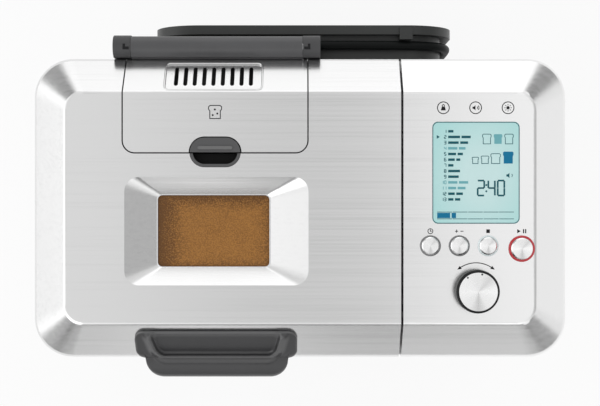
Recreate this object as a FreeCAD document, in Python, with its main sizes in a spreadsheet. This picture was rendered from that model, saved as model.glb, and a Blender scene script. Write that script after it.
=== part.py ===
import FreeCAD
import Part
import Sketcher
import math
import os
import re

from FreeCAD import Placement, Rotation, Vector

# A bread machine, in millimetres, +Z up. The model is drawn about the middle of the casing, with z = 0
# under the feet. Every finished piece is then moved along Y, so that the origin is under the middle of
# the whole.

# Driving sizes
SIZES = {
    # shell
    "casing_width": 415,
    "casing_depth": 233,
    "corner_radius": 30,
    "casing_bottom": 16,
    "casing_lip": 8,
    "skirt_height": 17,
    "rim_gap": 1,
    "top_height": 330,
    "bevel_drop": 25,
    "bevel_run": 28,
    "top_radius": 14,
    "rim_rounding": 6,
    "top_rounding": 4,
    "wall": 1.2,
    "panel_width": 129.5,
    "seam_gap": 1.8,
    # clearances
    "seat_gap": 0.3,
    "swing_gap": 0.6,
    "run_gap": 0.05,
    "press_gap": 0.02,
    # how far cutting blocks run past a face, and past the hood
    "over": 1,
    "overrun": 5,
    # feet and tray
    "foot_radius": 12,
    "foot_height": 8,
    "foot_inset": 46,
    "foot_chamfer": 1.5,
    "stem_radius": 4,
    "tray_height": 26,
    "tray_wall": 2.5,
    "screw_radius": 2,
    "screw_inset": 35,
    "screw_drop": 8,
    "screw_length": 7,
    "screw_head": 1.6,
    "side_slot": 4,
    "side_slot_length": 45,
    "side_slot_lift": 30,
    "side_slot_pitch": 9,
    # oven
    "deck_thickness": 2.5,
    "deck_height": 10,
    "chamber_margin": 17.5,
    "chamber_side_margin": 18.75,
    "chamber_wall": 1,
    "chamber_radius": 20,
    "chamber_floor": 70,
    "flange_width": 5,
    "element_radius": 3.5,
    "element_height": 88,
    "element_gap": 14,
    "element_bend": 40,
    "terminal_bend": 10,
    "terminal_spacing": 28,
    "terminal_reach": 6,
    "socket_height": 13,
    "socket_wall": 7.5,
    "lamp_radius": 11,
    "lamp_height": 244,
    "lamp_proud": 7,
    "lamp_rim": 2,
    "lamp_holder": 12,
    "sensor_radius": 3,
    "sensor_height": 150,
    "sensor_reach": 7,
    "sensor_tail": 8,
    "sensor_collar": 3,
    # pan and paddle
    "pan_side_margin": 28.5,
    "pan_front_margin": 23.5,
    "pan_radius": 24,
    "pan_wall": 1.5,
    "pan_floor": 96,
    "pan_rim": 230,
    "pan_flange": 2,
    "collar_radius": 37.5,
    "collar_wall": 3,
    "socket_fit": 1,
    "bail_clear": 15.8,
    "bail_headroom": 5.2,
    "bail_radius": 3,
    "bail_pin": 4,
    "bail_offset": 6,
    "bail_bend": 14,
    "bail_gap": 1.5,
    "bail_eye": 4,
    "bail_flat": 0.5,
    "bail_pin_end": 2,
    "bearing_wall": 4,
    "bearing_height": 4,
    "bearing_flange": 5,
    "bearing_reach": 10,
    "paddle_radius": 4,
    "paddle_top": 118,
    "hub_radius": 13,
    "hub_height": 22,
    "hub_bottom": 102,
    "hub_chamfer": 5,
    "blade_length": 43,
    "blade_width": 26,
    "blade_thickness": 3,
    "blade_pin": 2,
    "blade_barrel": 3.5,
    "blade_gap": 1,
    "blade_lift": 3,
    "wing_gap": 0.5,
    "wing_inset": 2,
    "wing_height": 4,
    # drive
    "shaft_radius": 5,
    "shaft_bottom": 34,
    "coupler_radius": 16,
    "coupler_height": 80,
    "coupler_disc": 4,
    "dog_half": 3,
    "dog_height": 5,
    "dog_inset": 5,
    "bush_wall": 2,
    "bush_length": 8,
    "housing_wall": 4,
    "housing_gap": 1,
    "housing_tail": 4,
    "housing_flange": 7,
    "frame_height": 58,
    "frame_thickness": 3,
    "frame_half_depth": 46,
    "frame_margin": 20,
    "frame_post": 5,
    "frame_post_inset": 8,
    "pulley_height": 38,
    "pulley_width": 12,
    "pulley_radius": 45,
    "motor_pulley_radius": 9,
    "pulley_flange": 1.5,
    "belt_thickness": 3,
    "motor_inset": 72.5,
    "motor_radius": 38,
    "motor_length": 89,
    "motor_shaft": 3,
    "motor_hole": 5,
    "motor_margin": 12,
    "motor_chamfer": 6,
    "motor_tail": 4,
    "power_clear": 16,
    "power_margin": 5,
    "power_width": 60,
    "power_height": 80,
    # hinge
    "pin_radius": 2.5,
    "ear_wall": 3.3,
    "cover_wall": 2.2,
    "ear_width": 10,
    "ear_inset": 1.8,
    "neck_gap": 0.4,
    "neck_height": 5.8,
    "neck_drop": 2,
    "neck_reach": 9,
    "neck_web": 4,
    "strip_thickness": 2.5,
    "strip_rise": 0.2,
    "strip_drop": 0.8,
    "cover_boss_offset": 6,
    "cover_boss_half": 5,
    "hinge_half": 66.8,
    "post_width": 13.5,
    "post_drop": 42,
    "post_reach": 9,
    "pin_inset": 0.5,
    # flap
    "flap_width": 140.7,
    "flap_length": 74,
    "flap_radius": 9,
    "flap_drop": 5,
    "flap_overrun": 10,
    "flap_liner_depth": 9,
    "flap_liner_wall": 2,
    "liner_inset": 3,
    "vent_width": 74,
    "vent_length": 21.4,
    "vent_setback": 15.1,
    "vent_depth": 1,
    "vent_radius": 3,
    "vent_reach": 8,
    "vent_pitch": 7.2,
    "vent_slot": 3.2,
    "vent_slot_length": 15.4,
    "low_offset": 1.8,
    # latch
    "latch_width": 38.5,
    "latch_length": 22.3,
    "latch_depth": 12,
    "latch_proud": 1.2,
    "latch_pin": 1.5,
    "latch_gap": 0.9,
    "lever_lift": 3.6,
    "lever_setback": 3.6,
    "lever_axis_lift": 1.8,
    "lug_offset": 3,
    "lug_half": 1.6,
    "lug_half_length": 2.8,
    "rib_width": 26.5,
    "rib_length": 2.6,
    "rib_setback": 3.4,
    "rib_height": 1,
    "pocket_proud": 0.4,
    "pocket_ledge": 2,
    "ledge_thickness": 1.6,
    "pocket_wall": 2.2,
    "pocket_floor": 1.5,
    # window
    "funnel_width": 140.5,
    "funnel_length": 82.6,
    "funnel_radius": 11,
    "funnel_depth": 12,
    "funnel_offset": 1,
    "window_y": -17.7,
    "pane_width": 87,
    "pane_length": 56,
    "pane_radius": 4,
    "glass_thickness": 4,
    "glass_overlap": 3.5,
    "glass_gap": 0.2,
    "shroud_gap": 1,
    "shroud_wall": 2,
    # lid inside
    "liner_lift": 0.5,
    "liner_thickness": 2.5,
    "liner_clear": 2,
    "liner_post_inset": 14,
    "liner_post_margin": 12,
    "chute_gap": 2,
    "boss_radius": 4,
    "gasket_width": 8,
    "hopper_wall": 1.5,
    "hopper_top_width": 120,
    "hopper_top_length": 39,
    "hopper_low_width": 100,
    "hopper_low_length": 26,
    "hopper_low_radius": 5,
    "hopper_top_radius": 7,
    "hopper_sink": 3,
    "hopper_gap": 1,
    "hopper_setback": 4.5,
    "leg_offset": 4,
    "leg_half": 1.5,
    "leg_half_length": 8,
    "leg_height": 10,
    "leg_foot": 6,
    "leg_foot_height": 2,
    "lug_inset": 3.5,
    "lug_height": 5,
    "stub_inset": 8,
    "stub_half": 4,
    "trapdoor_thickness": 1.8,
    "trapdoor_barrel": 2.2,
    "trapdoor_pin": 1.2,
    "trapdoor_gap": 0.5,
    "trapdoor_drop": 1.7,
    "barrel_inset": 6,
    "solenoid_gap": 6,
    "solenoid_length": 30,
    "solenoid_half": 10,
    "plunger_radius": 3,
    "plunger_reach": 14,
    # handle
    "handle_width": 124,
    "grip_width": 109,
    "handle_reach": 15.1,
    "handle_thickness": 2.6,
    "handle_length": 33,
    "handle_chamfer": 1.5,
    "grip_setback": 4,
    "grip_drop": 1.5,
    "grip_proud": 1.8,
    "nose_rounding": 3,
    "nose_lift": 2,
    "nose_top": 1.6,
    "scoop_width": 96,
    "scoop_rear": 9,
    "scoop_front": 22,
    "scoop_slope": 4,
    "scoop_sink": 0.5,
    # control panel
    "panel_frame_lift": 1,
    "panel_frame_thickness": 3,
    "panel_edge": 4,
    "panel_rim": 14,
    "boss_inset": 8,
    "boss_margin": 3.5,
    "stud_radius": 3,
    "stud_half": 38,
    "stud_margin": 6,
    "dial_stud": 9,
    "board_gap": 3,
    "board_half": 44,
    "board_margin": 14,
    "board_thickness": 1.6,
    "lens_width": 66.6,
    "lens_length": 77.8,
    "lens_radius": 4.2,
    "lens_sink": 0.3,
    "lens_depth": 3,
    "lens_flange": 2.5,
    "lens_gap": 0.2,
    "lcd_margin": 3,
    "controls_x": 56.2,
    "lens_y": 26.9,
    "button_y": -28.8,
    "button_pitch": 22,
    "button_offset": 12.8,
    "button_radius": 6.7,
    "button_ring": 8,
    "start_x": 91,
    "start_y": -31,
    "start_radius": 8.2,
    "start_ring": 10.1,
    "button_proud": 2.5,
    "ring_proud": 1.2,
    "button_travel": 1.2,
    "ring_depth": 7.7,
    "ring_flange": 1.6,
    "ring_slope": 2.4,
    "ring_chamfer": 0.6,
    "cap_flange": 1.8,
    "cap_flange_width": 0.9,
    "cap_play": 1,
    "cap_gap": 0.15,
    "cap_chamfer": 0.8,
    "switch_radius": 2.5,
    "dial_y": -63.1,
    "dial_radius": 16.4,
    "dial_cap_radius": 15,
    "dial_height": 14,
    "dial_shaft": 3,
    "dial_hole": 5,
    "dial_foot_gap": 3,
    "dial_skirt": 11,
    "dial_cap_height": 1.5,
    "dial_cap_chamfer": 0.5,
    "encoder_width": 14,
    "encoder_height": 7,
    "encoder_wall": 1.5,
    "encoder_gap": 2,
    # cord and its spool
    "spool_left": -112,
    "spool_right": 118,
    "spool_bottom": 90,
    "spool_height": 160,
    "spool_radius": 30,
    "spool_depth": 25.1,
    "spool_wall": 3,
    "flange_margin": 8.5,
    "flange_thickness": 7.4,
    "cord_radius": 3.7,
    "cord_setback": 16.5,
    "relief_left": 24,
    "relief_length": 26,
    "relief_radius": 6.5,
    "relief_block": 11,
    "relief_play": 1,
    "relief_tip": 1,
    "relief_grip": 8,
    "plug_left": -42,
    "plug_length": 40,
    "plug_width": 16,
    "plug_height": 16,
    "plug_play": 1,
    "plug_margin": 3,
    "plug_side_play": 0.5,
    "plug_neck": 14,
    "plug_neck_wall": 1.2,
    "plug_neck_step": 0.5,
    "plug_blade_length": 13,
    "plug_blade_pitch": 11,
    "plug_blade_width": 6,
    "plug_blade_thickness": 1.8,
    "clip_left": 81.3,
    "clip_width": 10.5,
    "clip_inset": 2,
    "clip_thickness": 2.4,
    "clip_drop": 5,
}

# Places and sizes that follow from the driving sizes
PLACES = {
    "right_x": "casing_width / 2",
    "rear_y": "casing_depth / 2",
    "edge_height": "top_height - bevel_drop",
    "rim_height": "edge_height - skirt_height",
    "bevel_slope": "sqrt(bevel_run * bevel_run + bevel_drop * bevel_drop)",
    "casing_top": "rim_height - rim_gap",
    "under_top": "top_height - wall",
    "seam_x": "right_x - panel_width",
    "lid_right": "seam_x - seam_gap / 2",
    "panel_left": "seam_x + seam_gap / 2",
    "lid_x": "(seam_x - right_x) / 2",
    "low_x": "lid_x - low_offset",
    "shift_y": "(handle_reach - spool_depth - flange_thickness) / 2",
    # base
    "tray_floor": "foot_height + tray_wall",
    "tray_top": "foot_height + tray_height",
    "tray_width": "casing_width - 2 * wall - 2 * seat_gap",
    "tray_depth": "casing_depth - 2 * wall - 2 * seat_gap",
    "tray_radius": "corner_radius - wall - seat_gap",
    "deck_top": "casing_top - wall",
    "side_slot_low": "tray_top + side_slot_lift",
    "chamber_width": "casing_width - panel_width - 2 * chamber_side_margin",
    "chamber_depth": "casing_depth - 2 * chamber_margin",
    "chamber_right": "lid_x + chamber_width / 2",
    "chamber_left": "lid_x - chamber_width / 2",
    "socket_low": "chamber_floor + chamber_wall",
    "socket_bore": "collar_radius + socket_fit",
    "element_half_x": "chamber_width / 2 - element_gap - chamber_wall",
    "element_half_y": "chamber_depth / 2 - element_gap + 2 * chamber_wall",
    # pan
    "pan_width": "chamber_width - 2 * chamber_wall - 2 * pan_side_margin",
    "pan_depth": "chamber_depth - 2 * chamber_wall - 2 * pan_front_margin",
    "bail_half": "pan_width / 2 + bail_offset + bail_radius",
    "bail_arm": "pan_depth / 2 + bail_clear",
    "bail_pivot": "liner_low - bail_arm - bail_radius - bail_headroom",
    "bearing_radius": "paddle_radius + run_gap + bearing_wall",
    "wing_low": "coupler_height + coupler_disc + wing_gap",
    "blade_left": "lid_x + hub_radius + blade_gap",
    "blade_right": "blade_left + blade_length",
    "blade_axis_y": "blade_barrel - hub_radius",
    "blade_axis_z": "hub_bottom + blade_lift",
    # drive
    "frame_top": "frame_height + frame_thickness",
    "bush_radius": "shaft_radius + run_gap + bush_wall",
    "housing_radius": "bush_radius + housing_wall",
    "housing_top": "coupler_height - housing_gap",
    "housing_low": "frame_height - housing_tail",
    "motor_x": "right_x - motor_inset",
    "pulley_top": "pulley_height + pulley_width",
    # hinge
    "ear_radius": "pin_radius + ear_wall",
    "cover_bore": "ear_radius + swing_gap",
    "cover_radius": "cover_bore + cover_wall",
    "hinge_y": "rear_y + cover_radius + swing_gap",
    "hinge_z": "edge_height",
    "pin_bore": "pin_radius + run_gap",
    "post_inner": "hinge_half + seat_gap",
    "post_outer": "post_inner + post_width",
    "ear_outer": "hinge_half - ear_inset",
    "ear_inner": "ear_outer - ear_width",
    "neck_top": "flap_low - neck_gap",
    "neck_low": "neck_top - neck_height",
    # flap, latch and window
    "flap_low": "edge_height - flap_drop",
    "flap_front": "rear_y - flap_length",
    "flap_plan_length": "flap_length + flap_radius + flap_overrun",
    "flap_plan_y": "flap_front + flap_plan_length / 2",
    "vent_y": "rear_y - vent_setback",
    "vent_bottom": "edge_height - vent_reach",
    "liner_high": "top_height - flap_liner_depth",
    "liner_rear": "rear_y - bevel_run - liner_clear",
    "lever_low": "liner_high + lever_lift",
    "lever_axis_y": "flap_front + latch_length / 2 - lever_setback",
    "lever_axis_z": "lever_low + lever_axis_lift",
    "pane_z": "top_height - funnel_depth",
    "glass_top": "pane_z - wall - glass_gap",
    "glass_low": "glass_top - glass_thickness",
    "funnel_x": "lid_x + funnel_offset",
    # lid inside
    "liner_low": "rim_height + liner_lift",
    "liner_top": "liner_low + liner_thickness",
    "hopper_low": "edge_height - hopper_sink",
    "hopper_high": "liner_high - hopper_gap",
    "hopper_top_y": "flap_front + hopper_setback + hopper_top_length / 2",
    "hopper_low_y": "flap_front + hopper_setback + hopper_low_length / 2",
    "trapdoor_y": "hopper_low_y + hopper_low_length / 2 + hopper_wall + trapdoor_barrel + trapdoor_gap",
    "trapdoor_top": "hopper_low - seat_gap",
    "trapdoor_z": "trapdoor_top - trapdoor_drop",
    # panel
    "panel_frame_height": "edge_height + panel_frame_lift",
    "frame_z": "panel_frame_height + panel_frame_thickness",
    "board_height": "frame_z + board_gap",
    "board_top": "board_height + board_thickness",
    "controls": "seam_x + controls_x",
    "button_top": "top_height + button_proud",
    "ring_top": "top_height + ring_proud",
    "ring_low": "top_height - ring_depth",
    "cap_low": "ring_low - cap_flange - button_travel - cap_play",
    "dial_low": "top_height + swing_gap",
    "dial_top": "top_height + dial_height",
    "dial_foot": "board_top + dial_foot_gap",
    "cap_seat": "dial_top - dial_cap_height",
    "lens_low": "under_top - lens_depth",
    # spool
    "spool_x": "(spool_left + spool_right) / 2",
    "spool_width": "spool_right - spool_left",
    "spool_z": "spool_bottom + spool_height / 2",
    "spool_top": "spool_bottom + spool_height",
    "spool_y": "rear_y + spool_depth",
    "cord_y": "rear_y + cord_setback",
    "cord_off": "cord_radius + seat_gap",
    "cord_low": "spool_bottom - cord_off",
    "relief_right": "relief_left + relief_length",
    "plug_right": "plug_left + plug_length",
    "plug_roof": "cord_low + plug_height / 2 + plug_play",
}

HINGE_COVER_START = -8
HINGE_COVER_SWEEP = 165
VENT_SLOTS = 9
SIDE_SLOTS = 8
RIM_SHARE = 0.45  # how much of the rim's rounding reaches up the bevel
# What stands on the power board: how far out it stands, where it starts along the board and how long it is,
# and where it starts above the tray and how tall it is
POWER_PARTS = {
    "transformer": (20, 5, 20, 0, 24),
    "capacitor": (14, 29, 12, 0, 30),
    "heat sink": (16, 7, 28, 40, 28),
}
FACING = {
    "x": Rotation(Vector(0, 1, 0), 90),
    "y": Rotation(Vector(1, 0, 0), -90),
    "z": Rotation(),
}

doc = FreeCAD.newDocument("bread_machine")
sheet = doc.addObject("Spreadsheet::Sheet", "Sizes")
for row, (name, number) in enumerate(SIZES.items(), start=1):
    sheet.set(f"A{row}", name)
    sheet.set(f"B{row}", str(number))
    sheet.setAlias(f"B{row}", name)
doc.recompute()
finished = []


# Formulas


def formula(text):
    """A formula with each named size written as its cell and each named place written out."""

    def written(match):
        word = match.group()
        if word in SIZES:
            return "Sizes." + word
        if word in PLACES:
            return "(" + formula(PLACES[word]) + ")"
        return word

    return re.sub(r"[a-z_]\w*", written, str(text))


def value(text):
    return float(sheet.evalExpression(formula(text)))


def span(ends):
    return f"({ends[1]}) - ({ends[0]})"


def middle(centre, half):
    return (f"({centre}) - ({half})", f"({centre}) + ({half})")


# Building blocks


def bind(item, **formulas):
    for name, text in formulas.items():
        item.setExpression(name, formula(text))
    return item


def place(item, x=0, y=0, z=0):
    for axis, text in zip("xyz", (x, y, z)):
        item.setExpression("Placement.Base." + axis, formula(text))
    return item


def box(x, y, z):
    item = doc.addObject("Part::Box", "box")
    bind(item, Length=span(x), Width=span(y), Height=span(z))
    return place(item, x[0], y[0], z[0])


def rod(axis, radius, ends, first, second, start=0, sweep=360):
    """A round bar along an axis, at the two other coordinates, in their order."""
    item = doc.addObject("Part::Cylinder", "rod")
    bind(item, Radius=radius, Height=span(ends))
    item.Angle = sweep
    item.Placement = Placement(Vector(), FACING[axis].multiply(Rotation(Vector(0, 0, 1), start)))
    spot = {"x": (ends[0], first, second), "y": (first, ends[0], second), "z": (first, second, ends[0])}
    return place(item, *spot[axis])


def ring(axis, outer, inner, ends, first, second):
    return cut(rod(axis, outer, ends, first, second), rod(axis, inner, ends, first, second))


def cone(axis, low_radius, high_radius, ends, first, second):
    item = doc.addObject("Part::Cone", "cone")
    bind(item, Radius1=low_radius, Radius2=high_radius, Height=span(ends))
    item.Placement = Placement(Vector(), FACING[axis])
    spot = {"x": (ends[0], first, second), "y": (first, ends[0], second), "z": (first, second, ends[0])}
    return place(item, *spot[axis])


def rounded_sketch(width, depth, radius):
    """A rectangle with round corners about the origin: four sides and four arcs, tangent all round."""
    sketch = doc.addObject("Sketcher::SketchObject", "outline")
    corner = value(radius)
    x = value(width) / 2
    y = value(depth) / 2
    starts = [(x - corner, y), (-x, y - corner), (-x + corner, -y), (x, -y + corner)]
    ends = [(-x + corner, y), (-x, -y + corner), (x - corner, -y), (x, y - corner)]
    for side in range(4):
        sketch.addGeometry(Part.LineSegment(Vector(*starts[side], 0), Vector(*ends[side], 0)))
        centre = Vector((-1, -1, 1, 1)[side] * (x - corner), (1, -1, -1, 1)[side] * (y - corner), 0)
        circle = Part.Circle(centre, Vector(0, 0, 1), corner)
        turn = math.pi / 2 * ((side + 1) % 4)
        sketch.addGeometry(Part.ArcOfCircle(circle, turn, turn + math.pi / 2))
    for piece in range(8):
        sketch.addConstraint(Sketcher.Constraint("Tangent", piece, 2, (piece + 1) % 8, 1))
    for piece, way in ((0, "Horizontal"), (4, "Horizontal"), (2, "Vertical"), (6, "Vertical")):
        sketch.addConstraint(Sketcher.Constraint(way, piece))
    for piece in (3, 5, 7):
        sketch.addConstraint(Sketcher.Constraint("Equal", 1, piece))
    named = {
        "radius": (Sketcher.Constraint("Radius", 1, corner), radius),
        "width": (Sketcher.Constraint("DistanceX", 2, 1, 6, 1, 2 * x), width),
        "depth": (Sketcher.Constraint("DistanceY", 4, 1, 0, 1, 2 * y), depth),
    }
    sketch.addConstraint(Sketcher.Constraint("Symmetric", 0, 1, 4, 1, -1, 1))
    for name, (constraint, text) in named.items():
        sketch.renameConstraint(sketch.addConstraint(constraint), name)
        sketch.setExpression("Constraints." + name, formula(text))
    return sketch


def prism(width, depth, radius, ends, x=0, y=0):
    """An upright block with round corners, at x and y."""
    sketch = place(rounded_sketch(width, depth, radius), x, y, ends[0])
    return extrude(sketch, ends)


def standing_prism(width, height, radius, ends, x, z):
    """A block with round corners that lies along Y, at x and z."""
    sketch = rounded_sketch(width, height, radius)
    sketch.Placement = Placement(Vector(), Rotation(Vector(1, 0, 0), 90))
    return extrude(place(sketch, x, ends[1], z), ends)


def extrude(sketch, ends):
    item = doc.addObject("Part::Extrusion", "prism")
    item.Base = sketch
    item.DirMode = "Normal"
    item.Solid = True
    return bind(item, LengthFwd=span(ends))


def loft(*sections):
    """A straight-sided body between outlines, each a width, depth, radius, x, y and z."""
    item = doc.addObject("Part::Loft", "loft")
    item.Sections = [place(rounded_sketch(*section[:3]), *section[3:]) for section in sections]
    item.Solid = True
    item.Ruled = True
    return item


def cut(base, *tools):
    for tool in tools:
        item = doc.addObject("Part::Cut", "cut")
        item.Base = base
        item.Tool = tool
        item.Refine = True
        base = item
    return base


def joined(kind, name, items):
    item = doc.addObject(kind, name)
    item.Shapes = list(items)
    item.Refine = True
    return item


def fuse(*items):
    return joined("Part::MultiFuse", "fuse", items)


def common(*items):
    return joined("Part::MultiCommon", "common", items)


def group(*items):
    item = doc.addObject("Part::Compound", "group")
    item.Links = list(items)
    return item


def mirror(item, axis, at=0):
    twin = doc.addObject("Part::Mirroring", "twin")
    twin.Source = item
    twin.Normal = {"x": Vector(1, 0, 0), "y": Vector(0, 1, 0)}[axis]
    twin.setExpression("Base." + axis, formula(at))
    return twin


def fillet(item, radius, chosen):
    """Rounds the edges that chosen(edge) says yes to."""
    doc.recompute()
    size = value(radius)
    item_edges = enumerate(item.Shape.Edges, start=1)
    rounded = doc.addObject("Part::Fillet", "fillet")
    rounded.Base = item
    rounded.Edges = [(number, size, size) for number, edge in item_edges if chosen(edge)]
    return rounded


def level_edges(height):
    """Chooses the edges that lie flat at a height."""

    def chosen(edge):
        bounds = edge.BoundBox
        return abs(bounds.ZMin - value(height)) < 0.01 and abs(bounds.ZMax - value(height)) < 0.01

    return chosen


def turned(outline, x=0, y=0):
    """A turned piece: a body whose half outline, as radius and height formulas, goes once round Z."""
    body = doc.addObject("PartDesign::Body", "turned")
    sketch = body.newObject("Sketcher::SketchObject", "half_outline")
    plane = [item for item in body.Origin.OriginFeatures if item.Role == "XZ_Plane"][0]
    sketch.AttachmentSupport = (plane, [""])
    sketch.MapMode = "FlatFace"
    corners = [Vector(value(radius), value(height), 0) for radius, height in outline]
    for number, corner in enumerate(corners):
        sketch.addGeometry(Part.LineSegment(corner, corners[(number + 1) % len(corners)]))
    for number, texts in enumerate(outline):
        sketch.addConstraint(Sketcher.Constraint("Coincident", number, 2, (number + 1) % len(corners), 1))
        for way, base, text, size in zip("XY", (-2, -1), texts, corners[number]):
            if abs(size) < 1e-9:
                sketch.addConstraint(Sketcher.Constraint("PointOnObject", number, 1, base))
                continue
            distance = Sketcher.Constraint("Distance" + way, -1, 1, number, 1, size)
            name = f"corner_{way}_{number}"
            sketch.renameConstraint(sketch.addConstraint(distance), name)
            sketch.setExpression("Constraints." + name, formula(text))
    turn = body.newObject("PartDesign::Revolution", "turn")
    turn.Profile = sketch
    turn.ReferenceAxis = (sketch, ["V_Axis"])
    turn.Angle = 360
    return place(body, x, y)


def shaped(shape):
    item = doc.addObject("Part::Feature", "shaped")
    item.Shape = shape
    return item


def side_profile(corners, ends):
    """A bar along X whose section is a list of y and z formulas."""
    low = value(ends[0])
    wire = Part.makePolygon([Vector(low, value(y), value(z)) for y, z in corners + corners[:1]])
    return shaped(Part.Face(wire).extrude(Vector(value(ends[1]) - low, 0, 0)))


def tube(edges, radius):
    """A round tube along an unbroken line of straight runs and arcs."""
    path = Part.Wire(edges)
    start = edges[0].Vertexes[0].Point
    along = edges[0].tangentAt(edges[0].FirstParameter)
    section = Part.Wire(Part.makeCircle(radius, start, along))
    return path.makePipeShell([section], True, False)


def route(corners, height, axis):
    """Straight runs and quarter arcs through corners, each two coordinates and a bend radius."""

    def spot(first, second):
        if axis == "z":
            return Vector(first, second, height)
        return Vector(first, height, second)

    edges = []
    last = corners[0][:2]
    for number in range(1, len(corners) - 1):
        here = Vector(*corners[number][:2], 0)
        back = (Vector(*corners[number - 1][:2], 0) - here).normalize()
        ahead = (Vector(*corners[number + 1][:2], 0) - here).normalize()
        bend = corners[number][2]
        begin = here + back * bend
        end = here + ahead * bend
        crown = here + (back + ahead) * bend * (1 - math.sqrt(0.5))
        edges.append(Part.LineSegment(spot(*last), spot(begin.x, begin.y)).toShape())
        edges.append(Part.Arc(spot(begin.x, begin.y), spot(crown.x, crown.y), spot(end.x, end.y)).toShape())
        last = (end.x, end.y)
    edges.append(Part.LineSegment(spot(*last), spot(*corners[-1][:2])).toShape())
    return edges


def finish(label, item):
    """Names a finished piece and moves it to the part's own frame."""
    item.Label = label
    stated = {path.lstrip("."): text for path, text in item.ExpressionEngine}
    own = stated.get("Placement.Base.y", "0")
    item.setExpression("Placement.Base.y", f"({own}) + " + formula("shift_y"))
    finished.append(item)


# Base: tray, feet and casing


def screw_places():
    """The casing's screws on its rear wall, as x and z: a low pair in the tray, then a pair in the deck."""
    return [
        (f"{side} * (right_x - screw_inset)", level)
        for level in ("tray_top - screw_drop", "deck_top - (deck_height + deck_thickness) / 2")
        for side in ("-1", "1")
    ]


def screw_rod(spot, radius, low, high):
    """A bar on a screw's axis, between two distances out from the rear wall."""
    return rod("y", radius, (f"rear_y + ({low})", f"rear_y + ({high})"), *spot)


def screw_holes(spots):
    return [screw_rod(spot, "screw_radius + press_gap", "-screw_length - over", "0") for spot in spots]


def make_base_tray():
    block = prism("tray_width", "tray_depth", "tray_radius", ("foot_height", "tray_top"))
    hollow = prism(
        "tray_width - 2 * tray_wall",
        "tray_depth - 2 * tray_wall",
        "tray_radius - tray_wall",
        ("tray_floor", "tray_top + over"),
    )
    stems = [
        rod("z", "stem_radius + press_gap", ("foot_height - over", "tray_floor + over"), x, y)
        for x in ("right_x - foot_inset", "foot_inset - right_x")
        for y in ("rear_y - foot_inset", "foot_inset - rear_y")
    ]
    finish("base_tray", cut(block, hollow, *stems, *screw_holes(screw_places()[:2])))


def make_rubber_feet():
    outline = [
        ("0", "0"),
        ("foot_radius - foot_chamfer", "0"),
        ("foot_radius", "foot_chamfer"),
        ("foot_radius", "foot_height"),
        ("stem_radius", "foot_height"),
        ("stem_radius", "tray_floor + over"),
        ("0", "tray_floor + over"),
    ]
    foot = turned(outline, "right_x - foot_inset", "rear_y - foot_inset")
    pair = group(foot, mirror(foot, "x"))
    finish("rubber_feet", group(pair, mirror(pair, "y")))


def make_outer_casing():
    block = prism("casing_width", "casing_depth", "corner_radius", ("casing_bottom", "casing_top"))
    hollow = prism(
        "casing_width - 2 * wall",
        "casing_depth - 2 * wall",
        "corner_radius - wall",
        ("casing_bottom - over", "deck_top"),
    )
    mouth = prism(
        "casing_width - 2 * casing_lip",
        "casing_depth - 2 * casing_lip",
        "corner_radius - casing_lip",
        ("deck_top - over", "casing_top + over"),
    )
    screws = [screw_rod(spot, "screw_radius + seat_gap", "-wall - over", "over") for spot in screw_places()]
    slots = []
    for number in range(SIDE_SLOTS):
        slot_y = f"{number - (SIDE_SLOTS - 1) / 2} * side_slot_pitch"
        through = ("right_x - wall - over", "right_x + over")
        tall = ("side_slot_low", "side_slot_low + side_slot_length")
        slots.append(box(through, middle(slot_y, "side_slot / 2"), tall))
    finish("outer_casing", cut(block, hollow, mouth, *screws, *slots))


def make_casing_screws():
    screws = []
    for spot in screw_places():
        shank = screw_rod(spot, "screw_radius", "-screw_length", "0")
        head = screw_rod(spot, "2 * screw_radius", "0", "screw_head")
        screws.append(fuse(shank, head))
    finish("casing_screws", group(*screws))


# Base: oven


def make_top_deck():
    width = "tray_width"
    depth = "tray_depth"
    block = prism(width, depth, "tray_radius", ("deck_top - deck_height", "deck_top"))
    hollow = prism(
        f"{width} - 2 * deck_thickness",
        f"{depth} - 2 * deck_thickness",
        "tray_radius - deck_thickness",
        ("deck_top - deck_height - over", "deck_top - deck_thickness"),
    )
    mouth = prism(
        "chamber_width + 2 * seat_gap",
        "chamber_depth + 2 * seat_gap",
        "chamber_radius + seat_gap",
        ("deck_top - deck_thickness - over", "deck_top + over"),
        "lid_x",
    )
    finish("top_deck", cut(block, hollow, mouth, *screw_holes(screw_places()[2:])))


def make_oven_chamber():
    tall = ("chamber_floor", "deck_top + chamber_wall")
    block = prism("chamber_width", "chamber_depth", "chamber_radius", tall, "lid_x")
    rim = prism(
        "chamber_width + 2 * flange_width",
        "chamber_depth + 2 * flange_width",
        "chamber_radius + flange_width",
        ("deck_top", "deck_top + chamber_wall"),
        "lid_x",
    )
    hollow = prism(
        "chamber_width - 2 * chamber_wall",
        "chamber_depth - 2 * chamber_wall",
        "chamber_radius - chamber_wall",
        ("socket_low", "deck_top + chamber_wall + over"),
        "lid_x",
    )
    through = ("chamber_right - chamber_wall - over", "chamber_right + over")
    terminals = [
        rod("x", "element_radius + press_gap", through, y, "element_height")
        for y in ("terminal_spacing / 2", "-terminal_spacing / 2")
    ]
    sensor = rod("x", "sensor_radius + press_gap", through, "chamber_depth / 4", "sensor_height")
    opposite = ("chamber_left - over", "chamber_left + chamber_wall + over")
    lamp = rod("x", "lamp_radius", opposite, "chamber_depth / 4", "lamp_height")
    shaft = rod("z", "housing_radius + seat_gap", ("chamber_floor - over", "socket_low + over"), "lid_x", 0)
    finish("oven_chamber", cut(fuse(block, rim), hollow, *terminals, sensor, lamp, shaft))


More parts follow.
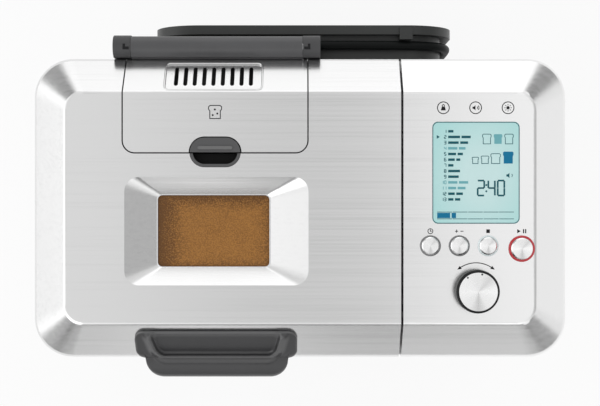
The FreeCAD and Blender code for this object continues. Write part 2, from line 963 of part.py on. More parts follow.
def make_heating_element():
    half_x = value("element_half_x")
    half_y = value("element_half_y")
    middle_x = value("lid_x")
    bend = value("element_bend")
    turn = value("terminal_bend")
    spacing = value("terminal_spacing") / 2
    outside = value("chamber_right + terminal_reach")
    upper = [
        (outside, spacing, 0),
        (middle_x + half_x, spacing, turn),
        (middle_x + half_x, half_y, bend),
        (middle_x - half_x, half_y, bend),
    ]
    lower = [(x, -y, radius) for x, y, radius in reversed(upper)]
    edges = route(upper + lower, value("element_height"), "z")
    finish("heating_element", shaped(tube(edges, value("element_radius"))))


def make_pan_socket():
    ends = ("socket_low", "socket_low + socket_height")
    finish("pan_socket", ring("z", "socket_bore + socket_wall", "socket_bore", ends, "lid_x", 0))


def make_temperature_sensor():
    spot = ("chamber_depth / 4", "sensor_height")
    probe = rod("x", "sensor_radius", ("chamber_right - sensor_reach", "chamber_right + sensor_tail"), *spot)
    collar = rod("x", "2 * sensor_radius", ("chamber_right", "chamber_right + sensor_collar"), *spot)
    finish("temperature_sensor", fuse(probe, collar))


def make_chamber_lamp():
    spot = ("chamber_depth / 4", "lamp_height")
    dome = rod("x", "lamp_radius - seat_gap", ("chamber_left - over", "chamber_left + lamp_proud"), *spot)
    holder = rod("x", "lamp_radius + lamp_rim", ("chamber_left - lamp_holder", "chamber_left"), *spot)
    finish("chamber_lamp", fuse(dome, holder))


# Base: drive


def make_drive_frame():
    left = "lid_x - pulley_radius - frame_margin"
    right = "motor_x + motor_radius + motor_margin"
    plate = box((left, right), middle(0, "frame_half_depth"), ("frame_height", "frame_top"))
    posts = [
        rod("z", "frame_post", ("tray_floor", "frame_height + over"), x, y)
        for x in (f"{left} + frame_post_inset", f"{right} - frame_post_inset")
        for y in ("frame_half_depth - frame_post_inset", "frame_post_inset - frame_half_depth")
    ]
    ends = ("frame_height - over", "frame_top + over")
    shaft = rod("z", "housing_radius + press_gap", ends, "lid_x", 0)
    motor = rod("z", "motor_hole", ends, "motor_x", 0)
    finish("drive_frame", cut(fuse(plate, *posts), shaft, motor))


def make_bearing_housing():
    outline = [
        ("bush_radius + press_gap", "housing_low"),
        ("housing_radius", "housing_low"),
        ("housing_radius", "frame_top"),
        ("housing_radius + housing_flange", "frame_top"),
        ("housing_radius + housing_flange", "frame_top + frame_thickness"),
        ("housing_radius", "frame_top + frame_thickness"),
        ("housing_radius", "housing_top"),
        ("bush_radius + press_gap", "housing_top"),
    ]
    finish("bearing_housing", turned(outline, "lid_x"))


def make_shaft_bushes():
    bore = "shaft_radius + run_gap"
    lower = ring("z", "bush_radius", bore, ("housing_low", "housing_low + bush_length"), "lid_x", 0)
    upper = ring("z", "bush_radius", bore, ("housing_top - bush_length", "housing_top"), "lid_x", 0)
    finish("shaft_bushes", group(lower, upper))


def make_drive_motor():
    top = "frame_top + motor_length"
    can = turned(
        [
            ("motor_shaft + run_gap", "frame_top"),
            ("motor_radius - motor_chamfer", "frame_top"),
            ("motor_radius", "frame_top + motor_chamfer"),
            ("motor_radius", f"{top} - motor_chamfer"),
            ("motor_radius - motor_chamfer", top),
            ("motor_shaft + run_gap", top),
        ],
        "motor_x",
    )
    finish("drive_motor", can)


def make_drive_belt():
    """The belt's two outlines are each two straight runs tangent to the pulleys' arcs."""
    big_x = value("lid_x")
    small_x = value("motor_x")

    def outline(big, small, low):
        lean = math.acos((big - small) / (small_x - big_x))

        def spot(x, radius, angle):
            return Vector(x + radius * math.cos(angle), radius * math.sin(angle), low)

        right = [spot(small_x, small, angle) for angle in (-lean, 0, lean)]
        left = [spot(big_x, big, angle) for angle in (lean, math.pi, -lean)]
        runs = [
            Part.LineSegment(left[2], right[0]),
            Part.Arc(*right),
            Part.LineSegment(right[2], left[0]),
            Part.Arc(*left),
        ]
        return Part.Wire([run.toShape() for run in runs])

    low = value("pulley_height + pulley_flange + seat_gap")
    high = value("pulley_top - pulley_flange - seat_gap")
    bodies = []
    for extra in ("seat_gap", "seat_gap + belt_thickness"):
        wire = outline(value("pulley_radius + " + extra), value("motor_pulley_radius + " + extra), low)
        bodies.append(Part.Face(wire).extrude(Vector(0, 0, high - low)))
    finish("drive_belt", shaped(bodies[1].cut(bodies[0])))


def make_power_board():
    """An upright board inside the right wall, with its larger parts on the side away from the wall."""
    back = "right_x - wall - power_clear"
    front = "power_margin - chamber_depth / 2"
    board = box(
        (f"{back} - board_thickness", back),
        (front, f"{front} + power_width"),
        ("tray_floor", "tray_top + power_height"),
    )
    parts = []
    for reach, along, length, up, height in POWER_PARTS.values():
        parts.append(
            box(
                (f"{back} - {reach}", f"{back} - board_thickness / 2"),
                (f"{front} + {along}", f"{front} + {along + length}"),
                (f"tray_top + {up}", f"tray_top + {up + height}"),
            )
        )
    finish("power_board", fuse(board, *parts))


def make_drive_shaft():
    shaft = rod("z", "shaft_radius", ("shaft_bottom", "coupler_height"), "lid_x", 0)
    disc = rod("z", "coupler_radius", ("coupler_height", "coupler_height + coupler_disc"), "lid_x", 0)
    tall = ("coupler_height + coupler_disc - over", "coupler_height + coupler_disc + dog_height")
    dogs = [
        box(middle("lid_x", "dog_half"), middle(y, "dog_half"), tall)
        for y in ("coupler_radius - dog_inset", "dog_inset - coupler_radius")
    ]
    finish("drive_shaft", fuse(shaft, disc, *dogs))


def pulley_outline(bore, radius):
    return [
        (bore, "pulley_height"),
        (f"{radius} + belt_thickness", "pulley_height"),
        (f"{radius} + belt_thickness", "pulley_height + pulley_flange"),
        (radius, "pulley_height + pulley_flange"),
        (radius, "pulley_top - pulley_flange"),
        (f"{radius} + belt_thickness", "pulley_top - pulley_flange"),
        (f"{radius} + belt_thickness", "pulley_top"),
        (bore, "pulley_top"),
    ]


def make_driven_pulley():
    finish("driven_pulley", turned(pulley_outline("shaft_radius + press_gap", "pulley_radius"), "lid_x"))


def make_motor_pulley():
    wheel = turned(pulley_outline("motor_shaft / 2", "motor_pulley_radius"), "motor_x")
    tall = ("pulley_height - over", "frame_top + motor_length + motor_tail")
    shaft = rod("z", "motor_shaft", tall, "motor_x", 0)
    finish("motor_pulley", fuse(wheel, shaft))


# Pan


def make_bread_pan():
    block = prism("pan_width", "pan_depth", "pan_radius", ("pan_floor", "pan_rim"), "lid_x")
    rim = prism(
        "pan_width + 2 * pan_flange",
        "pan_depth + 2 * pan_flange",
        "pan_radius + pan_flange",
        ("pan_rim - pan_wall", "pan_rim"),
        "lid_x",
    )
    hollow = prism(
        "pan_width - 2 * pan_wall",
        "pan_depth - 2 * pan_wall",
        "pan_radius - pan_wall",
        ("pan_floor + pan_wall", "pan_rim + over"),
        "lid_x",
    )
    tall = ("socket_low + seat_gap", "pan_floor + pan_wall / 2")
    collar = ring("z", "collar_radius", "collar_radius - collar_wall", tall, "lid_x", 0)
    pins = [
        rod("x", "bail_pin", ends, 0, "bail_pivot")
        for ends in (
            ("lid_x - bail_half - bail_radius - bail_pin_end", "lid_x - pan_width / 2 + pan_wall / 2"),
            ("lid_x + pan_width / 2 - pan_wall / 2", "lid_x + bail_half + bail_radius + bail_pin_end"),
        )
    ]
    through = ("pan_floor - over", "pan_floor + bearing_height + over")
    bore = rod("z", "bearing_radius + press_gap", through, "lid_x", 0)
    shell = cut(fuse(block, rim, collar, *pins), hollow, bore)
    finish("bread_pan", shell)


def make_pan_bearing():
    outline = [
        ("paddle_radius + run_gap", "pan_floor - bearing_flange"),
        ("paddle_radius + bearing_reach", "pan_floor - bearing_flange"),
        ("paddle_radius + bearing_reach", "pan_floor"),
        ("bearing_radius", "pan_floor"),
        ("bearing_radius", "pan_floor + bearing_height"),
        ("paddle_radius + run_gap", "pan_floor + bearing_height"),
    ]
    finish("pan_bearing", turned(outline, "lid_x"))


def make_pan_handle():
    """The bail lies folded to the front: two flat eyes on the pan's pins, and a round rod bent twice."""
    bend = value("bail_bend")
    reach = value("bail_arm")
    half = value("bail_half")
    middle_x = value("lid_x")
    start = -value("bail_pin + bail_gap")
    corners = [
        (middle_x - half, start, 0),
        (middle_x - half, -reach, bend),
        (middle_x + half, -reach, bend),
        (middle_x + half, start, 0),
    ]
    bow = shaped(tube(route(corners, value("bail_pivot"), "z"), value("bail_radius")))
    eyes = []
    bores = []
    for centre in ("lid_x - bail_half", "lid_x + bail_half"):
        wide = middle(centre, "bail_radius - bail_flat")
        eyes.append(rod("x", "bail_pin + bail_eye", wide, 0, "bail_pivot"))
        bores.append(rod("x", "bail_pin + run_gap", middle(centre, "bail_radius + over"), 0, "bail_pivot"))
    finish("pan_handle", cut(fuse(bow, *eyes), *bores))


def make_paddle_shaft():
    stem = rod("z", "paddle_radius", ("wing_low", "paddle_top"), "lid_x", 0)
    tall = ("wing_low", "wing_low + wing_height")
    wings = box(middle("lid_x", "coupler_radius - wing_inset"), middle(0, "dog_half"), tall)
    finish("paddle_shaft", fuse(stem, wings))


def make_paddle_hub():
    body = turned(
        [
            ("paddle_radius + press_gap", "hub_bottom"),
            ("hub_radius", "hub_bottom"),
            ("hub_radius", "hub_bottom + hub_height - hub_chamfer"),
            ("hub_radius - hub_chamfer", "hub_bottom + hub_height"),
            ("0", "hub_bottom + hub_height"),
            ("0", "paddle_top + seat_gap"),
            ("paddle_radius + press_gap", "paddle_top + seat_gap"),
        ],
        "lid_x",
    )
    pin_ends = ("lid_x + paddle_radius + blade_pin", "blade_right + blade_pin")
    pin = rod("x", "blade_pin", pin_ends, "blade_axis_y", "blade_axis_z")
    finish("paddle_hub", fuse(body, pin))


def make_paddle_blade():
    ends = ("blade_left", "blade_right")
    axis = ("blade_axis_y", "blade_axis_z")
    barrel = rod("x", "blade_barrel", ends, *axis)
    wide = ("blade_axis_y", "blade_axis_y + blade_width")
    plate = box(ends, wide, middle("blade_axis_z", "blade_thickness / 2"))
    bore = rod("x", "blade_pin + run_gap", ("blade_left - over", "blade_right + over"), *axis)
    finish("paddle_blade", cut(fuse(barrel, plate), bore))


# Hood: the shell that the lid, the flap and the control cover are cut from


def hood(inset, low):
    """The filled hood above a height, drawn in by an inset all round: upright sides, bevel and flat top."""
    edge = f"edge_height - {inset} * (bevel_slope - bevel_drop) / bevel_run"
    top_inset = f"(bevel_run + {inset} * (bevel_slope - bevel_run) / bevel_drop)"
    outline = (f"casing_width - 2 * {inset}", f"casing_depth - 2 * {inset}", f"corner_radius - {inset}")
    skirt = prism(*outline, (low, edge))
    bevel = loft(
        (*outline, 0, 0, edge),
        (
            f"casing_width - 2 * {top_inset}",
            f"casing_depth - 2 * {top_inset}",
            f"top_radius - {inset} / 2",
            0,
            0,
            f"top_height - {inset}",
        ),
    )
    return fuse(skirt, bevel)


def outer_hood():
    plain = hood("0", "rim_height")
    rim = fillet(plain, "rim_rounding", level_edges("edge_height"))
    return fillet(rim, "top_rounding", level_edges("top_height"))


def beyond(x):
    """A block that holds everything of the hood between two x places."""
    return box(x, middle(0, "rear_y + overrun"), ("rim_height - overrun", "top_height + overrun"))


def flap_block(extra, low):
    """The flap's plan, grown by a gap, from a height up."""
    return prism(
        f"flap_width + 2 * {extra}",
        f"flap_plan_length + 2 * {extra}",
        f"flap_radius + {extra}",
        (low, "top_height + overrun"),
        "lid_x",
        "flap_plan_y",
    )


def latch_block(extra, ends):
    return prism(
        f"latch_width + 2 * {extra}",
        f"latch_length + 2 * {extra}",
        f"latch_length / 2 + {extra} - press_gap / 2",
        ends,
        "lid_x",
        "flap_front",
    )


def funnel(extra, low, high):
    """The sunk funnel round the window, grown by a wall, between two heights."""
    return loft(
        (
            f"pane_width + 2 * {extra}",
            f"pane_length + 2 * {extra}",
            f"pane_radius + {extra}",
            "low_x",
            "window_y",
            low,
        ),
        (
            f"funnel_width + 2 * {extra}",
            f"funnel_length + 2 * {extra}",
            f"funnel_radius + {extra}",
            "funnel_x",
            "window_y",
            high,
        ),
    )


def make_lid_skin(filled, hollow):
    outside = common(filled, beyond(("-right_x - overrun", "lid_right")))
    inside = common(hollow, beyond(("-right_x - overrun", "lid_right - wall")))
    shell = cut(outside, inside, flap_block("swing_gap", "flap_low - swing_gap"))
    funnel_wall = funnel("wall", "pane_z - wall", "top_height")
    through = ("pane_z - overrun", "pane_z + press_gap")
    pane = prism("pane_width", "pane_length", "pane_radius", through, "low_x", "window_y")
    pocket = latch_block("seat_gap", ("under_top - over", "top_height + over"))
    necks = []
    for side in ("-1", "1"):
        centre = f"lid_x + {side} * (ear_inner + ear_outer) / 2"
        wide = middle(centre, "ear_width / 2 + swing_gap")
        tall = ("neck_low - swing_gap", "flap_low + over")
        necks.append(box(wide, ("rear_y - overrun", "rear_y + over"), tall))
    filled_lid = fuse(shell, funnel_wall)
    finish("lid_skin", cut(filled_lid, funnel("0", "pane_z", "top_height"), pane, pocket, *necks))


def make_flap_skin(filled, hollow):
    blank = common(cut(filled, hollow), flap_block("0", "flap_low"))
    tall = ("vent_bottom", "top_height + over")
    window = prism("vent_width", "vent_length", "vent_radius", tall, "low_x", "vent_y")
    edging = prism(
        "vent_width + 2 * wall",
        "vent_length + 2 * wall",
        "vent_radius + wall",
        tall,
        "low_x",
        "vent_y",
    )
    sunk = common(cut(hood("vent_depth", "flap_low"), hood("(vent_depth + wall)", "flap_low")), edging)
    slots = []
    for number in range(VENT_SLOTS):
        centre = f"low_x + {number - (VENT_SLOTS - 1) / 2} * vent_pitch"
        rounding = "vent_slot / 2 - press_gap / 2"
        slots.append(prism("vent_slot", "vent_slot_length", rounding, tall, centre, "vent_y"))
    lever = latch_block("latch_gap", ("under_top - over", "top_height + over"))
    finish("flap_skin", cut(fuse(cut(blank, window), sunk), lever, *slots))


def make_control_cover(filled, hollow):
    outside = common(filled, beyond(("panel_left", "right_x + overrun")))
    inside = common(hollow, beyond(("panel_left + wall", "right_x + overrun")))
    bosses = [
        rod("z", "boss_radius", ("frame_z", "under_top + wall / 2"), x, y)
        for x in ("panel_left + boss_inset", "right_x - bevel_run - boss_inset")
        for y in ("rear_y - bevel_run - boss_margin", "bevel_run + boss_margin - rear_y")
    ]
    through = ("under_top - over", "top_height + over")
    holes = [
        prism("lens_width", "lens_length", "lens_radius", through, "controls", "lens_y"),
        rod("z", "dial_hole", through, "controls", "dial_y"),
    ]
    for x, y, _, ring_radius in button_places():
        holes.append(rod("z", f"{ring_radius} + press_gap", through, x, y))
    finish("control_cover", cut(fuse(cut(outside, inside), *bosses), *holes))


# Lid


def shroud_block(extra, ends):
    """The light well under the window, grown by a wall."""
    return prism(
        f"pane_width + shroud_gap + 2 * {extra}",
        f"pane_length + shroud_gap + 2 * {extra}",
        f"pane_radius + {extra}",
        ends,
        "low_x",
        "window_y",
    )


def make_lid_liner():
    plan = prism(
        "casing_width - 2 * wall - 2 * seat_gap",
        "casing_depth - 2 * wall - 2 * seat_gap",
        "corner_radius - wall - seat_gap",
        ("liner_low", "liner_top"),
    )
    plate = common(plan, beyond(("-right_x - overrun", "lid_right - wall - seat_gap")))
    pieces = [plate]
    bores = []
    for side in ("-1", "1"):
        centre = f"lid_x + {side} * (ear_inner + ear_outer) / 2"
        wide = middle(centre, "ear_width / 2")
        pieces.append(rod("x", "ear_radius", wide, "hinge_y", "hinge_z"))
        ear_front = "hinge_y - ear_radius"
        web = ("rear_y - neck_reach", "rear_y - neck_reach + neck_web")
        riser = ("neck_low", "hinge_z - neck_drop")
        pieces.append(box(wide, (f"{ear_front} + swing_gap", "hinge_y"), riser))
        pieces.append(box(wide, ("rear_y - neck_reach", f"{ear_front} + over"), ("neck_low", "neck_top")))
        pieces.append(box(wide, web, ("liner_low + over", "neck_top")))
        bores.append(rod("x", "pin_bore", middle(centre, "ear_width"), "hinge_y", "hinge_z"))
    for x in ("bevel_run + liner_post_inset - right_x", "lid_right - liner_post_inset"):
        for y in ("rear_y - bevel_run - liner_post_margin", "bevel_run + liner_post_margin - rear_y"):
            pieces.append(rod("z", "boss_radius", ("liner_low + over", "under_top"), x, y))
    through = ("liner_low - over", "liner_top + over")
    window = shroud_block("0", through)
    chute = box(
        middle("lid_x", "hopper_low_width / 2 + hopper_wall + chute_gap"),
        (
            "hopper_low_y - hopper_low_length / 2 - hopper_wall - chute_gap",
            "trapdoor_y + trapdoor_barrel + chute_gap",
        ),
        through,
    )
    finish("lid_liner", cut(fuse(*pieces), window, chute, *bores))


def make_lid_gasket():
    ends = ("casing_top + seat_gap", "liner_low")
    width = "chamber_width + flange_width"
    depth = "chamber_depth + flange_width"
    outer = prism(width, depth, "chamber_radius", ends, "lid_x")
    inner = prism(
        f"{width} - 2 * gasket_width",
        f"{depth} - 2 * gasket_width",
        "chamber_radius - gasket_width",
        ("casing_top", "liner_low + over"),
        "lid_x",
    )
    finish("lid_gasket", cut(outer, inner))


def make_window_glass():
    finish(
        "window_glass",
        prism(
            "pane_width + 2 * glass_overlap",
            "pane_length + 2 * glass_overlap",
            "pane_radius + glass_overlap",
            ("glass_low", "glass_top"),
            "low_x",
            "window_y",
        ),
    )


def make_window_shroud():
    outer = shroud_block("shroud_wall", ("liner_top", "glass_low"))
    inner = shroud_block("0", ("liner_top - over", "glass_low + over"))
    finish("window_shroud", cut(outer, inner))


def make_lid_handle(filled):
    """A plate on the front bevel, and a grip that stands out over the front with a scoop on its top."""
    along_y = "bevel_run / bevel_slope"
    along_z = "bevel_drop / bevel_slope"

    def on_bevel(distance, height):
        """A point by its distance up the front bevel from the rim and its height off it."""
        return (
            f"-rear_y + ({distance}) * {along_y} - ({height}) * {along_z}",
            f"edge_height + ({distance}) * {along_z} + ({height}) * {along_y}",
        )

    root = f"rim_rounding * {RIM_SHARE}"
    plate = side_profile(
        [
            on_bevel("handle_length", 0),
            on_bevel(root, 0),
            ("-rear_y", "edge_height - rim_rounding"),
            ("-rear_y - handle_thickness", "edge_height - rim_rounding"),
            on_bevel(0, "handle_thickness"),
            on_bevel("handle_length - handle_chamfer", "handle_thickness"),
        ],
        middle("lid_x", "handle_width / 2"),
    )
    nose = "-rear_y - handle_reach"
    grip = side_profile(
        [
            on_bevel("handle_length - grip_setback", "over"),
            on_bevel(root, "over"),
            ("-rear_y", "edge_height - rim_rounding - grip_drop"),
            (f"{nose} + nose_rounding", "edge_height - rim_rounding - grip_drop"),
            (nose, "edge_height - rim_rounding + nose_lift"),
            (nose, "edge_height - grip_drop"),
            (f"{nose} + nose_rounding", "edge_height + nose_top"),
            on_bevel("nose_rounding", "handle_thickness + grip_proud"),
            on_bevel("handle_length - grip_setback", "handle_thickness + grip_proud"),
        ],
        middle("lid_x", "grip_width / 2"),
    )
    scoop = side_profile(
        [
            on_bevel("handle_length - scoop_rear", "handle_thickness + overrun"),
            on_bevel("handle_length - scoop_rear", "handle_thickness - scoop_sink"),
            on_bevel("handle_length - scoop_front", "handle_thickness - scoop_sink"),
            on_bevel("handle_length - scoop_front - scoop_slope", "handle_thickness + overrun"),
        ],
        middle("lid_x", "scoop_width / 2"),
    )
    finish("lid_handle", cut(fuse(plate, grip), scoop, filled))


def make_dispenser_hopper():
    """A box with sloped walls and no floor, on two legs, with lugs and stub pins for the trapdoor."""

    def body(extra):
        grown = f"2 * {extra}"
        low = (
            f"hopper_low_width + {grown}",
            f"hopper_low_length + {grown}",
            f"hopper_low_radius + {extra}",
            "lid_x",
            "hopper_low_y",
            "hopper_low",
        )
        high = (
            f"hopper_top_width + {grown}",
            f"hopper_top_length + {grown}",
            f"hopper_top_radius + {extra}",
            "lid_x",
            "hopper_top_y",
            "hopper_high",
        )
        return loft(low, high)

    pieces = [body("hopper_wall")]
    leg_y = middle("hopper_low_y", "leg_half_length")
    lug_y = middle("trapdoor_y", "trapdoor_barrel")
    lug_z = ("trapdoor_z - trapdoor_barrel", "hopper_low + lug_height")
    for side in ("-1", "1"):
        leg = f"lid_x + {side} * (hopper_low_width / 2 + hopper_wall + leg_offset)"
        lug = f"lid_x + {side} * (hopper_low_width / 2 - lug_inset)"
        stub = f"lid_x + {side} * (hopper_low_width / 2 - stub_inset)"
        pieces.append(box(middle(leg, "leg_half"), leg_y, ("liner_top", "hopper_low + leg_height")))
        pieces.append(box(middle(leg, "leg_foot"), leg_y, ("liner_top", "liner_top + leg_foot_height")))
        pieces.append(box(middle(lug, "leg_half"), lug_y, lug_z))
        pieces.append(rod("x", "trapdoor_pin", middle(stub, "stub_half"), "trapdoor_y", "trapdoor_z"))
    door_room = box(
        middle("lid_x", "hopper_low_width / 2 + hopper_wall + over"),
        middle("hopper_low_y", "leg_half_length + over"),
        ("liner_top - over", "hopper_low"),
    )
    finish("dispenser_hopper", cut(fuse(*pieces), door_room, body("0")))


def make_trapdoor():
    half = "hopper_low_width / 2 + hopper_wall"
    front = "hopper_low_y - hopper_low_length / 2 - hopper_wall"
    rear = "hopper_low_y + hopper_low_length / 2 + hopper_wall - trapdoor_gap"
    depth = ("trapdoor_top - trapdoor_thickness", "trapdoor_top")
    plate = box(middle("lid_x", half), (front, rear), depth)
    barrel_half = "hopper_low_width / 2 - barrel_inset"
    strip = box(middle("lid_x", barrel_half), (f"{rear} - over", "trapdoor_y"), depth)
    barrel = rod("x", "trapdoor_barrel", middle("lid_x", barrel_half), "trapdoor_y", "trapdoor_z")
    bore = rod("x", "trapdoor_pin + run_gap", middle("lid_x", half), "trapdoor_y", "trapdoor_z")
    finish("trapdoor", cut(fuse(plate, strip, barrel), bore))


def make_dispenser_solenoid():
    left = "lid_x + flap_width / 2 + solenoid_gap"
    body = box(
        (left, f"{left} + solenoid_length"),
        middle("hopper_low_y", "solenoid_half"),
        ("liner_top", "liner_top + 2 * solenoid_half"),
    )
    ends = (f"{left} - plunger_reach", f"{left} + over")
    plunger = rod("x", "plunger_radius", ends, "hopper_low_y", "liner_top + solenoid_half")
    finish("dispenser_solenoid", fuse(body, plunger))


def make_latch_pocket():
    """A half round cup, sunk in the lid in front of the flap, with its rim a little proud."""
    half = box(
        middle("lid_x", "latch_width"),
        ("flap_front - latch_length", "flap_front - latch_gap"),
        ("rim_height", "top_height + overrun"),
    )
    cup = latch_block("0", ("top_height - latch_depth", "top_height + pocket_proud"))
    ledge = latch_block("pocket_ledge", ("under_top - ledge_thickness", "under_top"))
    hollow = latch_block("-pocket_wall", ("top_height - latch_depth + pocket_floor", "top_height + over"))
    finish("latch_pocket", cut(common(fuse(cup, ledge), half), hollow))


# Flap


def make_flap_liner():
    width = "flap_width - 2 * liner_inset"
    front = "flap_front + liner_inset"
    length = f"(liner_rear) - ({front})"
    centre = f"((liner_rear) + ({front})) / 2"
    block = prism(width, length, "flap_radius - liner_inset", ("liner_high", "under_top"), "lid_x", centre)
    inside = ("liner_high + liner_thickness", "top_height")
    hollow = prism(
        f"{width} - 2 * flap_liner_wall",
        f"{length} - 2 * flap_liner_wall",
        "flap_radius - liner_inset - flap_liner_wall",
        inside,
        "lid_x",
        centre,
    )
    lever = latch_block("(latch_gap + seat_gap)", inside)
    pieces = [cut(block, hollow, lever)]
    bores = []
    for side in ("-1", "1"):
        lug = f"lid_x + {side} * (latch_width / 2 + lug_offset)"
        tall = ("liner_high + over", "under_top - seat_gap")
        pieces.append(box(middle(lug, "lug_half"), middle("lever_axis_y", "lug_half_length"), tall))
        through = middle(lug, "lug_half + over")
        bores.append(rod("x", "latch_pin + run_gap", through, "lever_axis_y", "lever_axis_z"))
    finish("flap_liner", cut(fuse(*pieces), *bores))


def make_flap_hinge_cover():
    """A round cover over the hinge, open below for the lid's ears, and a strip that joins it to the flap."""
    ends = middle("lid_x", "hinge_half")
    start = 270 - HINGE_COVER_START - HINGE_COVER_SWEEP
    arch = rod("x", "cover_radius", ends, "hinge_y", "hinge_z", start, HINGE_COVER_SWEEP)
    bore = rod("x", "cover_bore", middle("lid_x", "hinge_half + over"), "hinge_y", "hinge_z")
    pieces = [cut(arch, bore)]
    tall = ("flap_low + strip_rise", "edge_height - strip_drop")
    pieces.append(box(ends, ("rear_y", "rear_y + strip_thickness"), tall))
    bores = []
    for side in ("-1", "1"):
        centre = f"lid_x + {side} * (ear_inner - cover_boss_offset)"
        boss = middle(centre, "cover_boss_half")
        pieces.append(rod("x", "cover_bore + seat_gap", boss, "hinge_y", "hinge_z"))
        bores.append(rod("x", "pin_bore", middle(centre, "cover_boss_half + over"), "hinge_y", "hinge_z"))
    finish("flap_hinge_cover", cut(fuse(*pieces), *bores))


def make_latch_lever():
    """The flap's half of the round latch: a tab with a raised rib, and a pivot pin through its rear."""
    half = box(
        middle("lid_x", "latch_width"),
        ("flap_front", "flap_front + latch_length"),
        ("rim_height", "top_height + overrun"),
    )
    tab = common(latch_block("0", ("lever_low", "top_height + latch_proud")), half)
    rib = prism(
        "rib_width",
        "rib_length",
        "rib_length / 2 - press_gap",
        ("top_height", "top_height + latch_proud + rib_height"),
        "lid_x",
        "flap_front + rib_setback",
    )
    pin_half = "latch_width / 2 + lug_offset + lug_half"
    pin = rod("x", "latch_pin", middle("lid_x", pin_half), "lever_axis_y", "lever_axis_z")
    finish("latch_lever", fuse(tab, rib, pin))


# Hinge on the casing


def make_hinge_posts():
    posts = []
    for side in ("-1", "1"):
        centre = f"lid_x + {side} * (post_inner + post_outer) / 2"
        wide = middle(centre, "post_width / 2")
        rear = "hinge_y + post_reach"
        foot = box(wide, ("rear_y", rear), ("hinge_z - post_drop", "casing_top"))
        neck = box(wide, ("rear_y + swing_gap", rear), ("casing_top - over", "hinge_z"))
        knuckle = rod("x", "cover_radius", wide, "hinge_y", "hinge_z")
        bore = rod("x", "pin_radius + press_gap", middle(centre, "post_width"), "hinge_y", "hinge_z")
        posts.append(cut(fuse(foot, neck, knuckle), bore))
    finish("hinge_posts", group(*posts))


def make_hinge_pin():
    ends = middle("lid_x", "post_outer - pin_inset")
    finish("hinge_pin", rod("x", "pin_radius", ends, "hinge_y", "hinge_z"))


# Control panel


def button_places():
    """Each button's x, y, cap radius and ring radius: three small ones, then the start button."""
    small = [
        (f"controls - button_offset + {step} * button_pitch", "button_y", "button_radius", "button_ring")
        for step in (-1, 0, 1)
    ]
    return small + [("seam_x + start_x", "start_y", "start_radius", "start_ring")]


def make_panel_frame():
    wide = ("panel_left + panel_edge", "right_x - panel_rim")
    plate = box(wide, middle(0, "rear_y - panel_rim"), ("panel_frame_height", "frame_z"))
    legs = [
        rod("z", "boss_radius", ("deck_top", "panel_frame_height + over"), x, y)
        for x in ("panel_left + panel_edge + boss_inset", "right_x - panel_rim - boss_inset")
        for y in ("rear_y - panel_rim - boss_inset", "panel_rim + boss_inset - rear_y")
    ]
    studs = [
        rod("z", "stud_radius", ("frame_z - over", "board_height"), x, y)
        for x in ("controls - stud_half", "controls + stud_half")
        for y in ("lens_y + lens_length / 2 + stud_margin", "dial_y - dial_stud")
    ]
    finish("panel_frame", fuse(plate, *legs, *studs))


def make_control_board():
    board = box(
        middle("controls", "board_half"),
        ("dial_y - dial_radius", "lens_y + lens_length / 2 + board_margin"),
        ("board_height", "board_top"),
    )
    root = "board_top - board_thickness / 2"
    switch_ends = (root, "cap_low - button_travel - seat_gap")
    switches = [rod("z", "switch_radius", switch_ends, x, y) for x, y, _, _ in button_places()]
    encoder_top = "board_top + encoder_height"
    encoder = prism("encoder_width", "encoder_width", "over", (root, encoder_top), "controls", "dial_y")
    neck_ends = (f"{encoder_top} - over", "under_top - encoder_gap")
    neck = rod("z", "dial_shaft + encoder_wall", neck_ends, "controls", "dial_y")
    bore = rod("z", "dial_shaft + run_gap", ("dial_foot - over", "top_height"), "controls", "dial_y")
    finish("control_board", cut(fuse(board, *switches, encoder, neck), bore))


def make_lcd_module():
    ends = ("board_top", "lens_low - seat_gap")
    width = "lens_width + lcd_margin"
    finish("lcd_module", prism(width, "lens_length + lcd_margin", "lcd_margin", ends, "controls", "lens_y"))


def make_lcd_lens():
    pane = prism(
        "lens_width - 2 * press_gap",
        "lens_length - 2 * press_gap",
        "lens_radius - press_gap",
        ("lens_low", "top_height - lens_sink"),
        "controls",
        "lens_y",
    )
    flange = prism(
        "lens_width + 2 * lens_flange",
        "lens_length + 2 * lens_flange",
        "lens_radius + lens_flange",
        ("lens_low", "under_top - lens_gap"),
        "controls",
        "lens_y",
    )
    finish("lcd_lens", fuse(pane, flange))


def button_ring(x, y, cap_radius, ring_radius):
    """A ring through the cover, with a sloped flange below the cover's sheet and a bevelled top."""
    bore = f"{cap_radius} + cap_gap"
    return turned(
        [
            (bore, "ring_low"),
            (ring_radius, "ring_low"),
            (ring_radius, "under_top - ring_slope"),
            (f"{ring_radius} + ring_flange", "under_top - ring_slope"),
            (ring_radius, "under_top - lens_gap"),
            (ring_radius, "ring_top - ring_chamfer"),
            (f"{ring_radius} - ring_chamfer", "ring_top"),
            (bore, "ring_top"),
        ],
        x,
        y,
    )


def make_rings():
    places = button_places()
    finish("button_rings", group(*[button_ring(*place_of) for place_of in places[:3]]))
    finish("start_ring", button_ring(*places[3]))


def make_buttons():
    names = ("timer_button", "adjust_button", "cancel_button", "start_button")
    for name, (x, y, radius, _) in zip(names, button_places()):
        outline = [
            ("0", "cap_low"),
            (f"{radius} + cap_flange_width", "cap_low"),
            (f"{radius} + cap_flange_width", "cap_low + cap_flange"),
            (radius, "cap_low + cap_flange"),
            (radius, "button_top - cap_chamfer"),
            (f"{radius} - cap_chamfer", "button_top"),
            ("0", "button_top"),
        ]
        finish(name, turned(outline, x, y))


